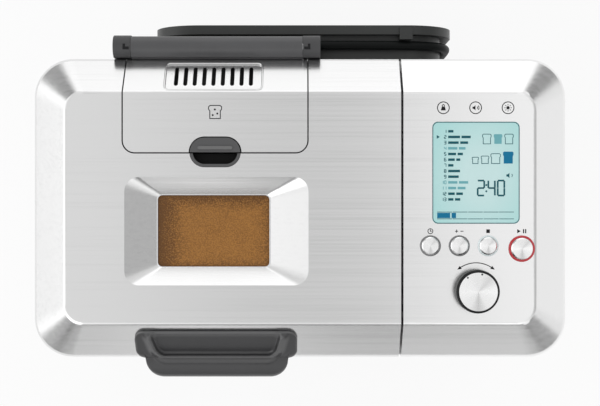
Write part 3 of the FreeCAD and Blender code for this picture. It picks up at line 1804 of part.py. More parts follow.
def make_dial():
    body = turned(
        [
            ("0", "dial_foot"),
            ("dial_shaft", "dial_foot"),
            ("dial_shaft", "dial_low"),
            ("dial_radius", "dial_low"),
            ("dial_radius", "dial_low + dial_skirt"),
            ("dial_cap_radius + seat_gap", "cap_seat"),
            ("0", "cap_seat"),
        ],
        "controls",
        "dial_y",
    )
    finish("select_dial", body)
    cap = turned(
        [
            ("0", "cap_seat"),
            ("dial_cap_radius", "cap_seat"),
            ("dial_cap_radius", "dial_top - dial_cap_chamfer"),
            ("dial_cap_radius - dial_cap_chamfer", "dial_top"),
            ("0", "dial_top"),
        ],
        "controls",
        "dial_y",
    )
    finish("dial_cap", cap)


# Cord and its spool


def make_cord_spool():
    ends = ("rear_y", "spool_y")
    hub = standing_prism("spool_width", "spool_height", "spool_radius", ends, "spool_x", "spool_z")
    relief_wide = middle("cord_y", "relief_radius + relief_play")
    block = box(
        ("relief_left - relief_block", "relief_left"),
        relief_wide,
        ("cord_low - relief_radius - relief_play", "spool_bottom + spool_wall"),
    )
    plug_room = box(
        ("plug_left - plug_margin", "relief_left - relief_block"),
        middle("cord_y", "plug_width / 2 + plug_side_play"),
        ("spool_bottom - over", "plug_roof"),
    )
    relief_room = box(
        ("relief_left", "relief_right + relief_play"),
        relief_wide,
        ("spool_bottom - over", "cord_low + relief_radius + relief_play"),
    )
    hollow = standing_prism(
        "spool_width - 2 * spool_wall",
        "spool_height - 2 * spool_wall",
        "spool_radius - spool_wall",
        ("rear_y - over", "spool_y - spool_wall"),
        "spool_x",
        "spool_z",
    )
    roof = box(
        ("plug_left - plug_margin - spool_wall", "relief_right + relief_play + spool_wall"),
        ends,
        ("spool_bottom", "plug_roof + spool_wall"),
    )
    finish("cord_spool", cut(fuse(cut(hub, hollow), roof, block), plug_room, relief_room))


def make_spool_flange():
    """A plate larger than the hub, sunk behind the hub where nothing shows."""
    ends = ("spool_y", "spool_y + flange_thickness")
    plate = standing_prism(
        "spool_width + 2 * flange_margin",
        "spool_height + 2 * flange_margin",
        "spool_radius + flange_margin",
        ends,
        "spool_x",
        "spool_z",
    )
    sunk = standing_prism(
        "spool_width - 4 * spool_wall",
        "spool_height - 4 * spool_wall",
        "spool_radius - 2 * spool_wall",
        ("spool_y - over", "spool_y + flange_thickness - spool_wall"),
        "spool_x",
        "spool_z",
    )
    finish("spool_flange", cut(plate, sunk))


def make_cord_clip():
    """A clip on the flange's top edge that hangs over the cord."""
    wide = ("clip_left", "clip_left + clip_width")
    top = "spool_top + flange_margin"
    front = "cord_y + cord_radius + swing_gap"
    bridge = box(wide, (front, "spool_y + flange_thickness - clip_inset"), (top, f"{top} + clip_thickness"))
    lip = box(wide, (front, "spool_y"), (f"{top} - clip_drop", f"{top} + over"))
    finish("cord_clip", fuse(bridge, lip))


def make_strain_relief():
    ends = ("relief_left", "relief_right")
    taper = cone("x", "relief_radius", "cord_radius + relief_tip", ends, "cord_y", "cord_low")
    through = ("relief_left + relief_grip", "relief_right + over")
    bore = rod("x", "cord_radius", through, "cord_y", "cord_low")
    finish("strain_relief", cut(taper, bore))


def cord_edges():
    """One flat turn round the hub: out of the strain relief, up, over, down and back to the plug."""
    bend = value("spool_radius + cord_off")
    left = value("spool_left - cord_off")
    right = value("spool_right + cord_off")
    low = value("cord_low")
    high = value("spool_top + cord_off")
    corners = [
        (value("relief_left + relief_grip"), low, 0),
        (right, low, bend),
        (right, high, bend),
        (left, high, bend),
        (left, low, bend),
        (value("plug_left"), low, 0),
    ]
    return route(corners, value("cord_y"), "y"), bend


def make_power_cord():
    edges, bend = cord_edges()
    radius = value("cord_radius")
    cord = tube(edges, radius)
    length = sum(edge.Length for edge in edges)
    print(f"cord: {length:.1f} mm long, every bend {bend:.1f} mm")
    share = cord.Volume / (math.pi * radius**2 * length)
    print(f"cord: volume is {share:.5f} of its section times its length")
    points = [spot for edge in edges for spot in edge.discretize(Distance=2)[1:]]
    apart = int(6 * radius)
    gaps = [
        (here - there).Length
        for number, here in enumerate(points)
        for there in points[number + apart :]
    ]
    print(f"cord: least gap to itself {min(gaps) - 2 * radius:.2f} mm")
    finish("power_cord", shaped(cord))


def make_power_plug():
    body = box(
        ("plug_left + plug_neck", "plug_right"),
        middle("cord_y", "plug_width / 2"),
        middle("cord_low", "plug_height / 2"),
    )
    neck = cone(
        "x",
        "cord_radius + plug_neck_wall",
        "plug_height / 2 - plug_neck_step",
        ("plug_left", "plug_left + plug_neck + over"),
        "cord_y",
        "cord_low",
    )
    blades = [
        box(
            ("plug_right - over", "plug_right + plug_blade_length"),
            middle(f"cord_y + {side} * plug_blade_pitch / 2", "plug_blade_thickness / 2"),
            middle("cord_low", "plug_blade_width / 2"),
        )
        for side in (-1, 1)
    ]
    finish("power_plug", fuse(body, neck, *blades))


# The whole machine


def make_machine():
    make_base_tray()
    make_rubber_feet()
    make_outer_casing()
    make_casing_screws()
    make_top_deck()
    make_oven_chamber()
    make_heating_element()
    make_pan_socket()
    make_temperature_sensor()
    make_chamber_lamp()
    make_drive_frame()
    make_bearing_housing()
    make_shaft_bushes()
    make_drive_motor()
    make_drive_belt()
    make_power_board()
    make_drive_shaft()
    make_driven_pulley()
    make_motor_pulley()
    make_bread_pan()
    make_pan_bearing()
    make_pan_handle()
    make_paddle_shaft()
    make_paddle_hub()
    make_paddle_blade()
    filled = outer_hood()
    hollow = hood("wall", "rim_height - 2")
    make_lid_skin(filled, hollow)
    make_flap_skin(filled, hollow)
    make_control_cover(filled, hollow)
    make_lid_liner()
    make_lid_gasket()
    make_window_glass()
    make_window_shroud()
    make_lid_handle(filled)
    make_dispenser_hopper()
    make_trapdoor()
    make_dispenser_solenoid()
    make_latch_pocket()
    make_flap_liner()
    make_flap_hinge_cover()
    make_latch_lever()
    make_hinge_posts()
    make_hinge_pin()
    make_panel_frame()
    make_control_board()
    make_lcd_module()
    make_lcd_lens()
    make_rings()
    make_buttons()
    make_dial()
    make_cord_spool()
    make_spool_flange()
    make_cord_clip()
    make_strain_relief()
    make_power_cord()
    make_power_plug()
    doc.recompute()


def check_and_write():
    failed = [item.Label for item in doc.Objects if {"Invalid", "Error"} & set(item.State)]
    if failed:
        raise RuntimeError("failed: " + ", ".join(failed))
    for item in finished:
        if item.Shape.isNull() or not item.Shape.isValid() or not item.Shape.Solids:
            raise RuntimeError("no valid solid: " + item.Label)
    os.makedirs("parts", exist_ok=True)
    for item in finished:
        item.Shape.exportStep(f"parts/{item.Label}.step")
        print(f"{item.Label}: {len(item.Shape.Solids)} solid(s), {item.Shape.Volume / 1000:.2f} cm3")


make_machine()
check_and_write()
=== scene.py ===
import math

import bmesh
import bpy
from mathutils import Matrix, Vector


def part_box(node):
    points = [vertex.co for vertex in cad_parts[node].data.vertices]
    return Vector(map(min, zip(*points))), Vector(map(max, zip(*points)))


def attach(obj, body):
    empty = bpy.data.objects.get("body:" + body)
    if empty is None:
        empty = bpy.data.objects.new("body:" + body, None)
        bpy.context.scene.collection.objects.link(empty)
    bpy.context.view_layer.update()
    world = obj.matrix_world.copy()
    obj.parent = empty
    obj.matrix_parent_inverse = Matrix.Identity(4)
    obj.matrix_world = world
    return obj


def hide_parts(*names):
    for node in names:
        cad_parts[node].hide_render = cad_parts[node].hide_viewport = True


# The looks of a bread machine. Blender works in metres; sizes here are in millimetres, in the part's frame:
# +X to the right, +Y to the back, +Z up, with the origin on the floor under the middle of the whole.

MM = 0.001

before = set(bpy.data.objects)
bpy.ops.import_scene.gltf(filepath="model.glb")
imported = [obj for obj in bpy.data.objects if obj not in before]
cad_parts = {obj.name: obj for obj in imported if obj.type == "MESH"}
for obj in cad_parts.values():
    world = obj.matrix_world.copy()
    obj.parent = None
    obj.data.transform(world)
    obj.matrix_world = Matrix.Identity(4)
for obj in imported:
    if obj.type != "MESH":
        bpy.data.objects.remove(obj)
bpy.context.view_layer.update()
scene = bpy.context.scene
scene.view_settings.view_transform = "Standard"


def extent(node_name):
    """A node's lowest and highest corners, in millimetres."""
    low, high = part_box(node_name)
    return low / MM, high / MM


def centre(node_name):
    low, high = extent(node_name)
    return (low + high) / 2


# Places that the looks are drawn from
TOP = extent("control_cover")[1].z
LENS = centre("lcd_lens")
LENS_TOP = extent("lcd_lens")[1].z
DIAL = centre("dial_cap")
DIAL_TOP = extent("dial_cap")[1].z
LID_X = centre("flap_skin").x
LATCH_TOP = extent("latch_lever")[1].z
RINGS_BORDER = (centre("adjust_button").x + centre("cancel_button").x) / 2


# Shader nodes


def node(tree, kind, **values):
    """Adds a shader node; values set its inputs by name, or its own settings."""
    item = tree.nodes.new("ShaderNode" + kind)
    for name, value in values.items():
        if name in item.inputs:
            item.inputs[name].default_value = value
        else:
            setattr(item, name, value)
    return item


def blended(tree, first, second, operation="MULTIPLY"):
    """Two values put together; the second may be a plain number."""
    item = node(tree, "Math", operation=operation)
    tree.links.new(first, item.inputs[0])
    if isinstance(second, (int, float)):
        item.inputs[1].default_value = second
    else:
        tree.links.new(second, item.inputs[1])
    return item.outputs[0]


def positive(tree, value):
    """A value without its sign."""
    item = node(tree, "Math", operation="ABSOLUTE")
    tree.links.new(value, item.inputs[0])
    return item.outputs[0]


def split(tree, place):
    """A place's X, Y and Z."""
    item = node(tree, "SeparateXYZ")
    tree.links.new(place, item.inputs[0])
    return item.outputs


def own_place(tree):
    """The place on a piece, in the piece's own space."""
    return node(tree, "TexCoord").outputs["Object"]


def ranged(tree, value, low, high, to_low, to_high, smooth=False):
    """A value taken from one range to another."""
    item = node(tree, "MapRange")
    item.interpolation_type = "SMOOTHSTEP" if smooth else "LINEAR"
    for name, number in (("From Min", low), ("From Max", high), ("To Min", to_low), ("To Max", to_high)):
        item.inputs[name].default_value = number
    tree.links.new(value, item.inputs["Value"])
    return item.outputs["Result"]


def ramped(tree, value, stops):
    """A colour read off a row of stops, as places from 0 to 1 and colours."""
    ramp = node(tree, "ValToRGB")
    elements = ramp.color_ramp.elements
    while len(elements) < len(stops):
        elements.new(1.0)
    for element, (place, colour) in zip(elements, stops):
        element.position = place
        element.color = (*colour, 1)
    tree.links.new(value, ramp.inputs["Fac"])
    return ramp.outputs["Color"]


def new_material(name, rough, metallic=0.0, **sockets):
    """A material with a principled shader, whose even values are set on its own sockets."""
    material = bpy.data.materials.new(name)
    material.use_nodes = True
    shader = material.node_tree.nodes["Principled BSDF"]
    shader.inputs["Roughness"].default_value = rough
    shader.inputs["Metallic"].default_value = metallic
    for socket, value in sockets.items():
        shader.inputs[socket.replace("_", " ")].default_value = value
    return material, material.node_tree, shader


# Outlines in plan


def arc(x, y, radius, start=0, sweep=360, steps=32):
    """Points on an arc, in degrees anticlockwise from +X; a whole circle leaves out its last point."""
    count = steps if sweep == 360 else steps + 1
    turns = [math.radians(start + sweep * step / steps) for step in range(count)]
    return [(x + radius * math.cos(turn), y + radius * math.sin(turn)) for turn in turns]


def ray(turn, reaches):
    """Points on a line outward from the middle."""
    way = math.radians(turn)
    return [(reach * math.cos(way), reach * math.sin(way)) for reach in reaches]


def rectangle(left, low, right, high):
    return [(left, low), (right, low), (right, high), (left, high)]


def rounded_path(middle, half, radius, steps=6):
    """A rounded rectangle."""
    points = []
    for quarter, (side_x, side_y) in enumerate(((1, 1), (-1, 1), (-1, -1), (1, -1))):
        x = middle[0] + side_x * (half[0] - radius)
        y = middle[1] + side_y * (half[1] - radius)
        points += arc(x, y, radius, 90 * quarter, 90, steps)
    return points


def mirrored(right):
    """A whole outline from its right half, given from low to high."""
    return right + [(-x, y) for x, y in reversed(right)]


def moved(points, x, y):
    return [(x + px, y + py) for px, py in points]


# Camera, light and floor

CAMERA_HEIGHT = 1330
CAMERA_Y = -4.9
CAMERA_LENS = 78.7
SENSOR_WIDTH = 36


def make_camera():
    """Straight above the machine, with its back at the top of the picture."""
    camera = bpy.data.objects.new("camera", bpy.data.cameras.new("camera"))
    camera.data.sensor_fit = "HORIZONTAL"
    camera.data.sensor_width = SENSOR_WIDTH
    camera.data.lens = CAMERA_LENS
    camera.location = Vector((0, CAMERA_Y, CAMERA_HEIGHT)) * MM
    scene.collection.objects.link(camera)
    scene.camera = camera


# How bright the studio is, as places from -1 to 1 and levels
FRONT_TO_REAR = (
    (-1.0, 0.26),
    (-0.88, 0.45),
    (-0.73, 1.15),
    (-0.50, 0.92),
    (-0.30, 0.78),
    (0.0, 0.80),
    (0.70, 0.84),
    (0.94, 1.15),
    (1.0, 1.15),
)
LEFT_TO_RIGHT = (
    (-1.0, 2.10),
    (-0.86, 1.70),
    (-0.70, 1.42),
    (-0.55, 0.95),
    (-0.35, 0.98),
    (-0.20, 1.18),
    (-0.10, 1.00),
    (0.01, 0.71),
    (0.07, 0.67),
    (0.11, 1.30),
    (0.24, 1.38),
    (0.36, 1.00),
    (0.60, 0.98),
    (1.0, 0.97),
)
REAR_WALL_FADE = (0.55, 0.95)
REAR_WALL_LIGHT = 1.18
CORNER_FADE = (0.36, 0.47)
CORNER_LIGHT = 0.25
# Round spots: the way to the middle, the two cosines that it fades between, and the level
FLAG = ((0.80, 0.0, 0.60), (0.86, 0.97), 0.66)
CARD = ((-0.0665, -0.992, 0.105), (0.9954, 0.9996), 6.0)


def light_level(tree, place, levels):
    """A level of light read off a row of places from -1 to 1."""
    top = max(level for along, level in levels)
    stops = [((along + 1) / 2, (level / top,) * 3) for along, level in levels]
    share = ranged(tree, place, -1, 1, 0, 1)
    return blended(tree, ramped(tree, share, stops), top)


def spot_level(tree, way, toward, fade, level):
    """A round spot of the studio, of a level at its middle and 1 outside."""
    near = node(tree, "VectorMath", operation="DOT_PRODUCT")
    near.inputs[1].default_value = toward
    tree.links.new(way, near.inputs[0])
    return ranged(tree, near.outputs["Value"], *fade, 1, level, smooth=True)


def make_world():
    """A pale studio with a dim strip overhead, a dark flag on the right, dark corners and a card in front."""
    world = bpy.data.worlds.new("studio")
    scene.world = world
    world.use_nodes = True
    tree = world.node_tree
    background = tree.nodes["Background"]
    way = node(tree, "TexCoord").outputs["Generated"]
    parts = split(tree, way)
    front = light_level(tree, parts["Y"], FRONT_TO_REAR)
    side = light_level(tree, parts["X"], LEFT_TO_RIGHT)
    behind = ranged(tree, parts["Y"], *REAR_WALL_FADE, 0, REAR_WALL_LIGHT, smooth=True)
    side = blended(tree, side, behind, "MAXIMUM")
    slant = positive(tree, blended(tree, parts["X"], parts["Y"]))
    corners = ranged(tree, slant, *CORNER_FADE, 1, CORNER_LIGHT, smooth=True)
    level = blended(tree, front, side)
    for shade in (spot_level(tree, way, *FLAG), spot_level(tree, way, *CARD), corners):
        level = blended(tree, level, shade)
    tree.links.new(level, background.inputs["Strength"])
    background.inputs["Color"].default_value = (1, 1, 1, 1)


SUN_ENERGY = 0.25
SUN_SPREAD = 40
SUN_TURN = (37, -39, 0)


def make_sun():
    data = bpy.data.lights.new("sun", "SUN")
    data.energy = SUN_ENERGY
    data.angle = math.radians(SUN_SPREAD)
    sun = bpy.data.objects.new("sun", data)
    sun.rotation_euler = [math.radians(turn) for turn in SUN_TURN]
    scene.collection.objects.link(sun)


FLOOR_HALF = 60000
FLOOR_DROP = 0.5
FLOOR_COLOUR = (0.93, 0.93, 0.93, 1)
FLOOR_ROUGH = 0.9
FLOOR_GLOW = 0.85


def make_floor():
    """A white floor that keeps a faint shadow."""
    mesh = bpy.data.meshes.new("floor")
    corners = rectangle(-FLOOR_HALF, -FLOOR_HALF, FLOOR_HALF, FLOOR_HALF)
    mesh.from_pydata([(x * MM, y * MM, -FLOOR_DROP * MM) for x, y in corners], [], [(0, 1, 2, 3)])
    floor = bpy.data.objects.new("floor", mesh)
    scene.collection.objects.link(floor)
    material, tree, shader = new_material("floor", FLOOR_ROUGH)
    shader.inputs["Base Color"].default_value = FLOOR_COLOUR
    glow = node(tree, "Emission", Strength=1.0)
    rays = node(tree, "LightPath").outputs
    seen = rays["Is Camera Ray"]
    for kind in ("Is Glossy Ray", "Is Transmission Ray"):
        seen = blended(tree, seen, rays[kind], "MAXIMUM")
    mix = node(tree, "MixShader")
    tree.links.new(blended(tree, seen, FLOOR_GLOW), mix.inputs["Fac"])
    tree.links.new(shader.outputs[0], mix.inputs[1])
    tree.links.new(glow.outputs[0], mix.inputs[2])
    tree.links.new(mix.outputs[0], tree.nodes["Material Output"].inputs["Surface"])
    mesh.materials.append(material)


# Materials

# The values that noise, and a sum of two noises, mostly lie between
NOISE = (0.3, 0.7)
TWO_NOISES = (0.7, 1.3)


def noise(tree, waves, detail=2.0):
    """Noise in the piece's own space, with so many waves per metre, the same or along X, Y and Z."""
    scaled = node(tree, "Mapping")
    scaled.inputs["Scale"].default_value = waves if isinstance(waves, tuple) else (waves,) * 3
    tree.links.new(own_place(tree), scaled.inputs["Vector"])
    item = node(tree, "TexNoise", Scale=1.0, Detail=detail)
    tree.links.new(scaled.outputs[0], item.inputs["Vector"])
    return item.outputs["Fac"]


def coloured(tree, shader, value, low, high, spread=NOISE):
    """Gives the shader a colour between two, by a value."""
    stops = list(zip(spread, (low, high)))
    tree.links.new(ramped(tree, value, stops), shader.inputs["Base Color"])


def roughened(tree, shader, value, rough, shares, spread=NOISE):
    """Gives the shader a roughness between two shares of its own, by a value."""
    least, most = (rough * share for share in shares)
    tree.links.new(ranged(tree, value, *spread, least, most), shader.inputs["Roughness"])


def bumped(tree, shader, height, distance, strength):
    """Gives the shader relief of a height in millimetres."""
    item = node(tree, "Bump", Strength=strength, Distance=distance * MM)
    tree.links.new(height, item.inputs["Height"])
    tree.links.new(item.outputs[0], shader.inputs["Normal"])


def shades(colour, amount):
    """A colour made a little darker and a little lighter."""
    return [tuple(channel * factor for channel in colour) for factor in (1 - amount, 1 + amount)]


BROAD_STREAKS = 0.4
STREAK_DEPTH = 0.015


def brushed_metal(name, colour, rough, waves, streak=0.022):
    """Brushed metal: fine streaks over broad ones."""
    material, tree, shader = new_material(name, rough, metallic=1.0)
    fine = noise(tree, waves, detail=3.0)
    broad = noise(tree, tuple(count * BROAD_STREAKS for count in waves))
    both = blended(tree, fine, broad, "ADD")
    coloured(tree, shader, both, *shades(colour, streak), spread=TWO_NOISES)
    roughened(tree, shader, both, rough, (0.88, 1.15), spread=TWO_NOISES)
    bumped(tree, shader, fine, STREAK_DEPTH, 0.25)
    return material


# Where a spun face is painted with darker wedges, a painted reflection, as turns about its middle and shades
PAINTED_WEDGES = ((0.0, 1.0), (0.17, 1.0), (0.25, 0.74), (0.33, 1.0), (0.55, 0.98), (0.63, 0.82), (0.71, 1.0))


def spun_metal(name, colour, rough):
    """Metal turned on a lathe: fine rings about the piece's middle, with darker wedges painted into its
    colour as a painted reflection.
    """
    material, tree, shader = new_material(name, rough, metallic=1.0, Anisotropic=0.85)
    tangent = node(tree, "Tangent", direction_type="RADIAL", axis="Z")
    tree.links.new(tangent.outputs[0], shader.inputs["Tangent"])
    middle = node(tree, "Mapping")
    middle.inputs["Location"].default_value = (-0.5, -0.5, 0)
    tree.links.new(node(tree, "TexCoord").outputs["Generated"], middle.inputs["Vector"])
    turn = node(tree, "TexGradient", gradient_type="RADIAL")
    tree.links.new(middle.outputs[0], turn.inputs["Vector"])
    stops = [(place, tuple(channel * shade for channel in colour)) for place, shade in PAINTED_WEDGES]
    tree.links.new(ramped(tree, turn.outputs["Fac"], stops), shader.inputs["Base Color"])
    roughened(tree, shader, noise(tree, 700), rough, (0.95, 1.05))
    return material


GRAIN_DEPTH = 0.02


def plastic(name, colour, rough, grain=1400, relief=0.35, mottle=0.10, **sockets):
    """Moulded plastic: a fine spark-eroded grain, and a slow change of shade and sheen."""
    material, tree, shader = new_material(name, rough, **sockets)
    slow = noise(tree, 28, detail=4.0)
    coloured(tree, shader, slow, *shades(colour, mottle))
    roughened(tree, shader, slow, rough, (0.88, 1.1))
    bumped(tree, shader, noise(tree, grain), GRAIN_DEPTH, relief)
    return material


# How far an edge stands out, as pointiness, where the painted highlight starts and where it is full
EDGE_HIGHLIGHT_BEND = (0.503, 0.53)
# The sockets of a mix node that hold its two colours and its result
MIX_FIRST = 6
MIX_SECOND = 7
MIX_RESULT = 2


def worn_plastic(name, colour, edge_highlight, rough, **sockets):
    """Moulded plastic with a painted highlight: paler along its raised edges, where they would catch light.
    """
    material = plastic(name, colour, rough, **sockets)
    tree = material.node_tree
    base = tree.nodes["Principled BSDF"].inputs["Base Color"]
    edge = node(tree, "NewGeometry").outputs["Pointiness"]
    mix = node(tree, "Mix", data_type="RGBA")
    tree.links.new(ranged(tree, edge, *EDGE_HIGHLIGHT_BEND, 0, 1, smooth=True), mix.inputs["Factor"])
    tree.links.new(base.links[0].from_socket, mix.inputs[MIX_FIRST])
    mix.inputs[MIX_SECOND].default_value = (*edge_highlight, 1)
    tree.links.new(mix.outputs[MIX_RESULT], base)
    return material


def metal(name, colour, rough, waves=160, mottle=0.06):
    """Cast or rolled metal, a little cloudy."""
    material, tree, shader = new_material(name, rough, metallic=1.0)
    cast = noise(tree, waves, detail=4.0)
    coloured(tree, shader, cast, *shades(colour, mottle))
    roughened(tree, shader, cast, rough, (0.8, 1.2))
    bumped(tree, shader, cast, GRAIN_DEPTH, 0.2)
    return material


def coated_metal():
    """The pan's non-stick coat: dark, with pale specks."""
    material, tree, shader = new_material("pan_coat", 0.42, metallic=0.35)
    specks = noise(tree, 900, detail=1.0)
    coloured(tree, shader, specks, (0.035, 0.035, 0.037), (0.19, 0.19, 0.19), spread=(0.64, 0.74))
    bumped(tree, shader, specks, GRAIN_DEPTH, 0.3)
    return material


def glass(name, colour, rough, transmission):
    material, tree, shader = new_material(name, rough, Transmission_Weight=transmission, IOR=1.49)
    coloured(tree, shader, noise(tree, 40, detail=3.0), *shades(colour, 0.05))
    return material


PANE_WARM = (0.44, 0.195, 0.042)
PANE_DARK = (0.16, 0.066, 0.014)
# Where the painted light of the warm part lies from the pane's middle, and where it fades into painted shade,
# as shares of the pane's half
PANE_OFF = (6, -3)
PANE_FADE = (0.5, 1.12)
PANE_CLOUD = 0.4
FLECK_NOISE = (0.42, 0.72)
FLECK_LIGHT = (-0.30, 0.60)


def window_pane():
    """Bronze-tinted oven glass: painted warm light and painted glints in the middle, and painted shade darker
    to its edges.
    """
    low, high = extent("window_glass")
    even = {"Transmission_Weight": 0.15, "Specular_IOR_Level": 0.3}
    material, tree, shader = new_material("window_pane", 0.2, **even)
    parts = split(tree, own_place(tree))
    edges = []
    for axis, off, middle, half in zip("XY", PANE_OFF, (low + high) / 2, (high - low) / 2):
        far = positive(tree, blended(tree, parts[axis], (middle + off) * MM, "SUBTRACT"))
        warm, dark = (half * MM * share for share in PANE_FADE)
        edges.append(ranged(tree, far, warm, dark, 0, 1, smooth=True))
    # Painted shade: darker towards the pane's edges
    rim = blended(tree, *edges, "MAXIMUM")
    cloud = blended(tree, noise(tree, 60, detail=3.0), PANE_CLOUD)
    # Painted glints: pale flecks in the pane's colour
    painted_glints = ranged(tree, noise(tree, 1100, detail=1.0), *FLECK_NOISE, *FLECK_LIGHT)
    shade = blended(tree, blended(tree, rim, cloud, "ADD"), painted_glints, "SUBTRACT")
    coloured(tree, shader, shade, PANE_WARM, PANE_DARK, spread=(0.0, 1.1))
    return material


# The display's colour at its edges and in its middle, between which a painted glow is drawn
DISPLAY_EDGE = (0.43, 0.73, 0.72)
DISPLAY_MIDDLE = (0.58, 0.79, 0.785)
PAINTED_GLOW_OFF = Vector((4, -2, 0))
PAINTED_GLOW_REACH = (42, 52, 1000)


def display():
    """A pale aqua display with a painted glow, lightest in its middle and darker to its edges."""
    material, tree, shader = new_material("display", 0.22, Coat_Weight=0.3)
    scaled = node(tree, "Mapping", vector_type="TEXTURE")
    scaled.inputs["Location"].default_value = (LENS + PAINTED_GLOW_OFF) * MM
    scaled.inputs["Scale"].default_value = [reach * MM for reach in PAINTED_GLOW_REACH]
    tree.links.new(own_place(tree), scaled.inputs["Vector"])
    ball = node(tree, "TexGradient", gradient_type="SPHERICAL")
    tree.links.new(scaled.outputs[0], ball.inputs["Vector"])
    coloured(tree, shader, ball.outputs["Fac"], DISPLAY_EDGE, DISPLAY_MIDDLE, spread=(0.0, 0.7))
    return material


def two_tone(name, rough, axis, border, colours, waves, cloud, share=1, **sockets):
    """Plastic of one colour up to a border along an axis and of another past it, a little clouded."""
    material, tree, shader = new_material(name, rough, **sockets)
    before, past = (edge * MM for edge in border)
    side = ranged(tree, split(tree, own_place(tree))[axis], before, past, 0, share)
    clouds = blended(tree, noise(tree, waves), cloud)
    coloured(tree, shader, blended(tree, side, clouds, "ADD"), *colours)
    return material


def ring_plastic():
    """The small rings: grey on the first two buttons, pale on the third."""
    border = (RINGS_BORDER - 1, RINGS_BORDER + 1)
    colours = ((0.19, 0.19, 0.195), (0.74, 0.82, 0.83))
    return two_tone("ring_plastic", 0.3, "X", border, colours, 60, 0.1, Coat_Weight=0.2)


def latch_plastic():
    """The latch's lever: grey, with a painted highlight that makes its raised rib paler."""
    border = (LATCH_TOP - 0.9, LATCH_TOP - 0.2)
    colours = ((0.08, 0.08, 0.082), (0.14, 0.14, 0.14))
    return two_tone("latch_plastic", 0.38, "Z", border, colours, 90, 0.2, share=0.8)


def pocket_plastic():
    """The latch's finger pocket: a grey rim, and painted shade that makes the hollow black."""
    border = (TOP - 1.2, TOP - 0.3)
    colours = ((0.006, 0.006, 0.006), (0.10, 0.10, 0.102))
    return two_tone("pocket_plastic", 0.45, "Z", border, colours, 90, 0.15, Specular_IOR_Level=0.15)


def circuit_board():
    material, tree, shader = new_material("circuit_board", 0.4)
    tracks = node(tree, "TexBrick", Scale=160.0)
    tracks.inputs["Color1"].default_value = (0.02, 0.13, 0.05, 1)
    tracks.inputs["Color2"].default_value = (0.03, 0.17, 0.07, 1)
    tracks.inputs["Mortar"].default_value = (0.10, 0.30, 0.12, 1)
    tree.links.new(own_place(tree), tracks.inputs["Vector"])
    tree.links.new(tracks.outputs["Color"], shader.inputs["Base Color"])
    return material


def ink(name, colour):
    """Printed ink, a little uneven; the dark one also paints shade lines."""
    return plastic(name, colour, 0.5, relief=0.05, mottle=0.06, Specular_IOR_Level=0.15)


STEEL = (0.78, 0.78, 0.78)
PANEL_STEEL = (0.87, 0.87, 0.87)
CASING_STEEL = (0.62, 0.62, 0.62)
# Waves per metre along X, Y and Z
BRUSHING = (7, 1300, 1300)
CHARCOAL = (0.038, 0.038, 0.040)
# A paler charcoal, painted on the handle's raised edges as a highlight
EDGE_HIGHLIGHT_CHARCOAL = (0.085, 0.085, 0.087)
SHEATH_BLACK = (0.007, 0.008, 0.008)

steel = brushed_metal("brushed_steel", STEEL, 0.22, BRUSHING)
panel_steel = brushed_metal("panel_steel", PANEL_STEEL, 0.22, BRUSHING)
casing_steel = brushed_metal("casing_steel", CASING_STEEL, 0.3, BRUSHING)
spun = spun_metal("spun_steel", (0.95, 0.95, 0.95), 0.28)
charcoal = plastic("charcoal_plastic", CHARCOAL, 0.40, Coat_Weight=0.25)
# The handle's plastic, with a painted highlight along its raised edges
handle_plastic = worn_plastic("handle_plastic", CHARCOAL, EDGE_HIGHLIGHT_CHARCOAL, 0.40, Coat_Weight=0.25)
hinge_grey = plastic("hinge_grey", (0.070, 0.070, 0.073), 0.36, Coat_Weight=0.15)
post_grey = plastic("post_grey", (0.05, 0.05, 0.052), 0.5)
black_plastic = plastic("black_plastic", (0.010, 0.011, 0.011), 0.40, Specular_IOR_Level=0.25)
spool_plastic = plastic("spool_plastic", (0.026, 0.028, 0.027), 0.42)
inner_plastic = plastic("inner_plastic", (0.045, 0.045, 0.048), 0.55)
red_plastic = plastic("red_plastic", (0.50, 0.018, 0.028), 0.28, relief=0.05, Coat_Weight=0.4)
rubber = plastic("rubber", (0.018, 0.018, 0.018), 0.78, grain=700, relief=0.5)
cord_sheath = plastic("cord_sheath", SHEATH_BLACK, 0.45, grain=1800, relief=0.2, Specular_IOR_Level=0.1)
gasket = plastic("gasket", (0.11, 0.10, 0.095), 0.7, grain=500)
galvanised = metal("galvanised", (0.56, 0.56, 0.57), 0.38, waves=70, mottle=0.14)
aluminium = metal("aluminium", (0.62, 0.62, 0.63), 0.42)
bright_steel = metal("bright_steel", (0.72, 0.72, 0.73), 0.16)
bronze = metal("bronze", (0.58, 0.40, 0.19), 0.34)
hot_steel = metal("hot_steel", (0.13, 0.115, 0.11), 0.5, mottle=0.3)
smoky = glass("smoky_plastic", (0.62, 0.66, 0.68), 0.12, 0.75)
lamp_glass = glass("lamp_glass", (0.95, 0.88, 0.72), 0.3, 0.5)
pan_coat = coated_metal()
# Dark ink: for print, and for painted shade along gaps and steps
print_and_shade_ink = ink("print_and_shade_ink", (0.014, 0.014, 0.015))
teal_ink = ink("teal_ink", (0.012, 0.10, 0.125))
pale_ink = ink("pale_ink", (0.16, 0.42, 0.46))
blue_ink = ink("blue_ink", (0.008, 0.17, 0.32))

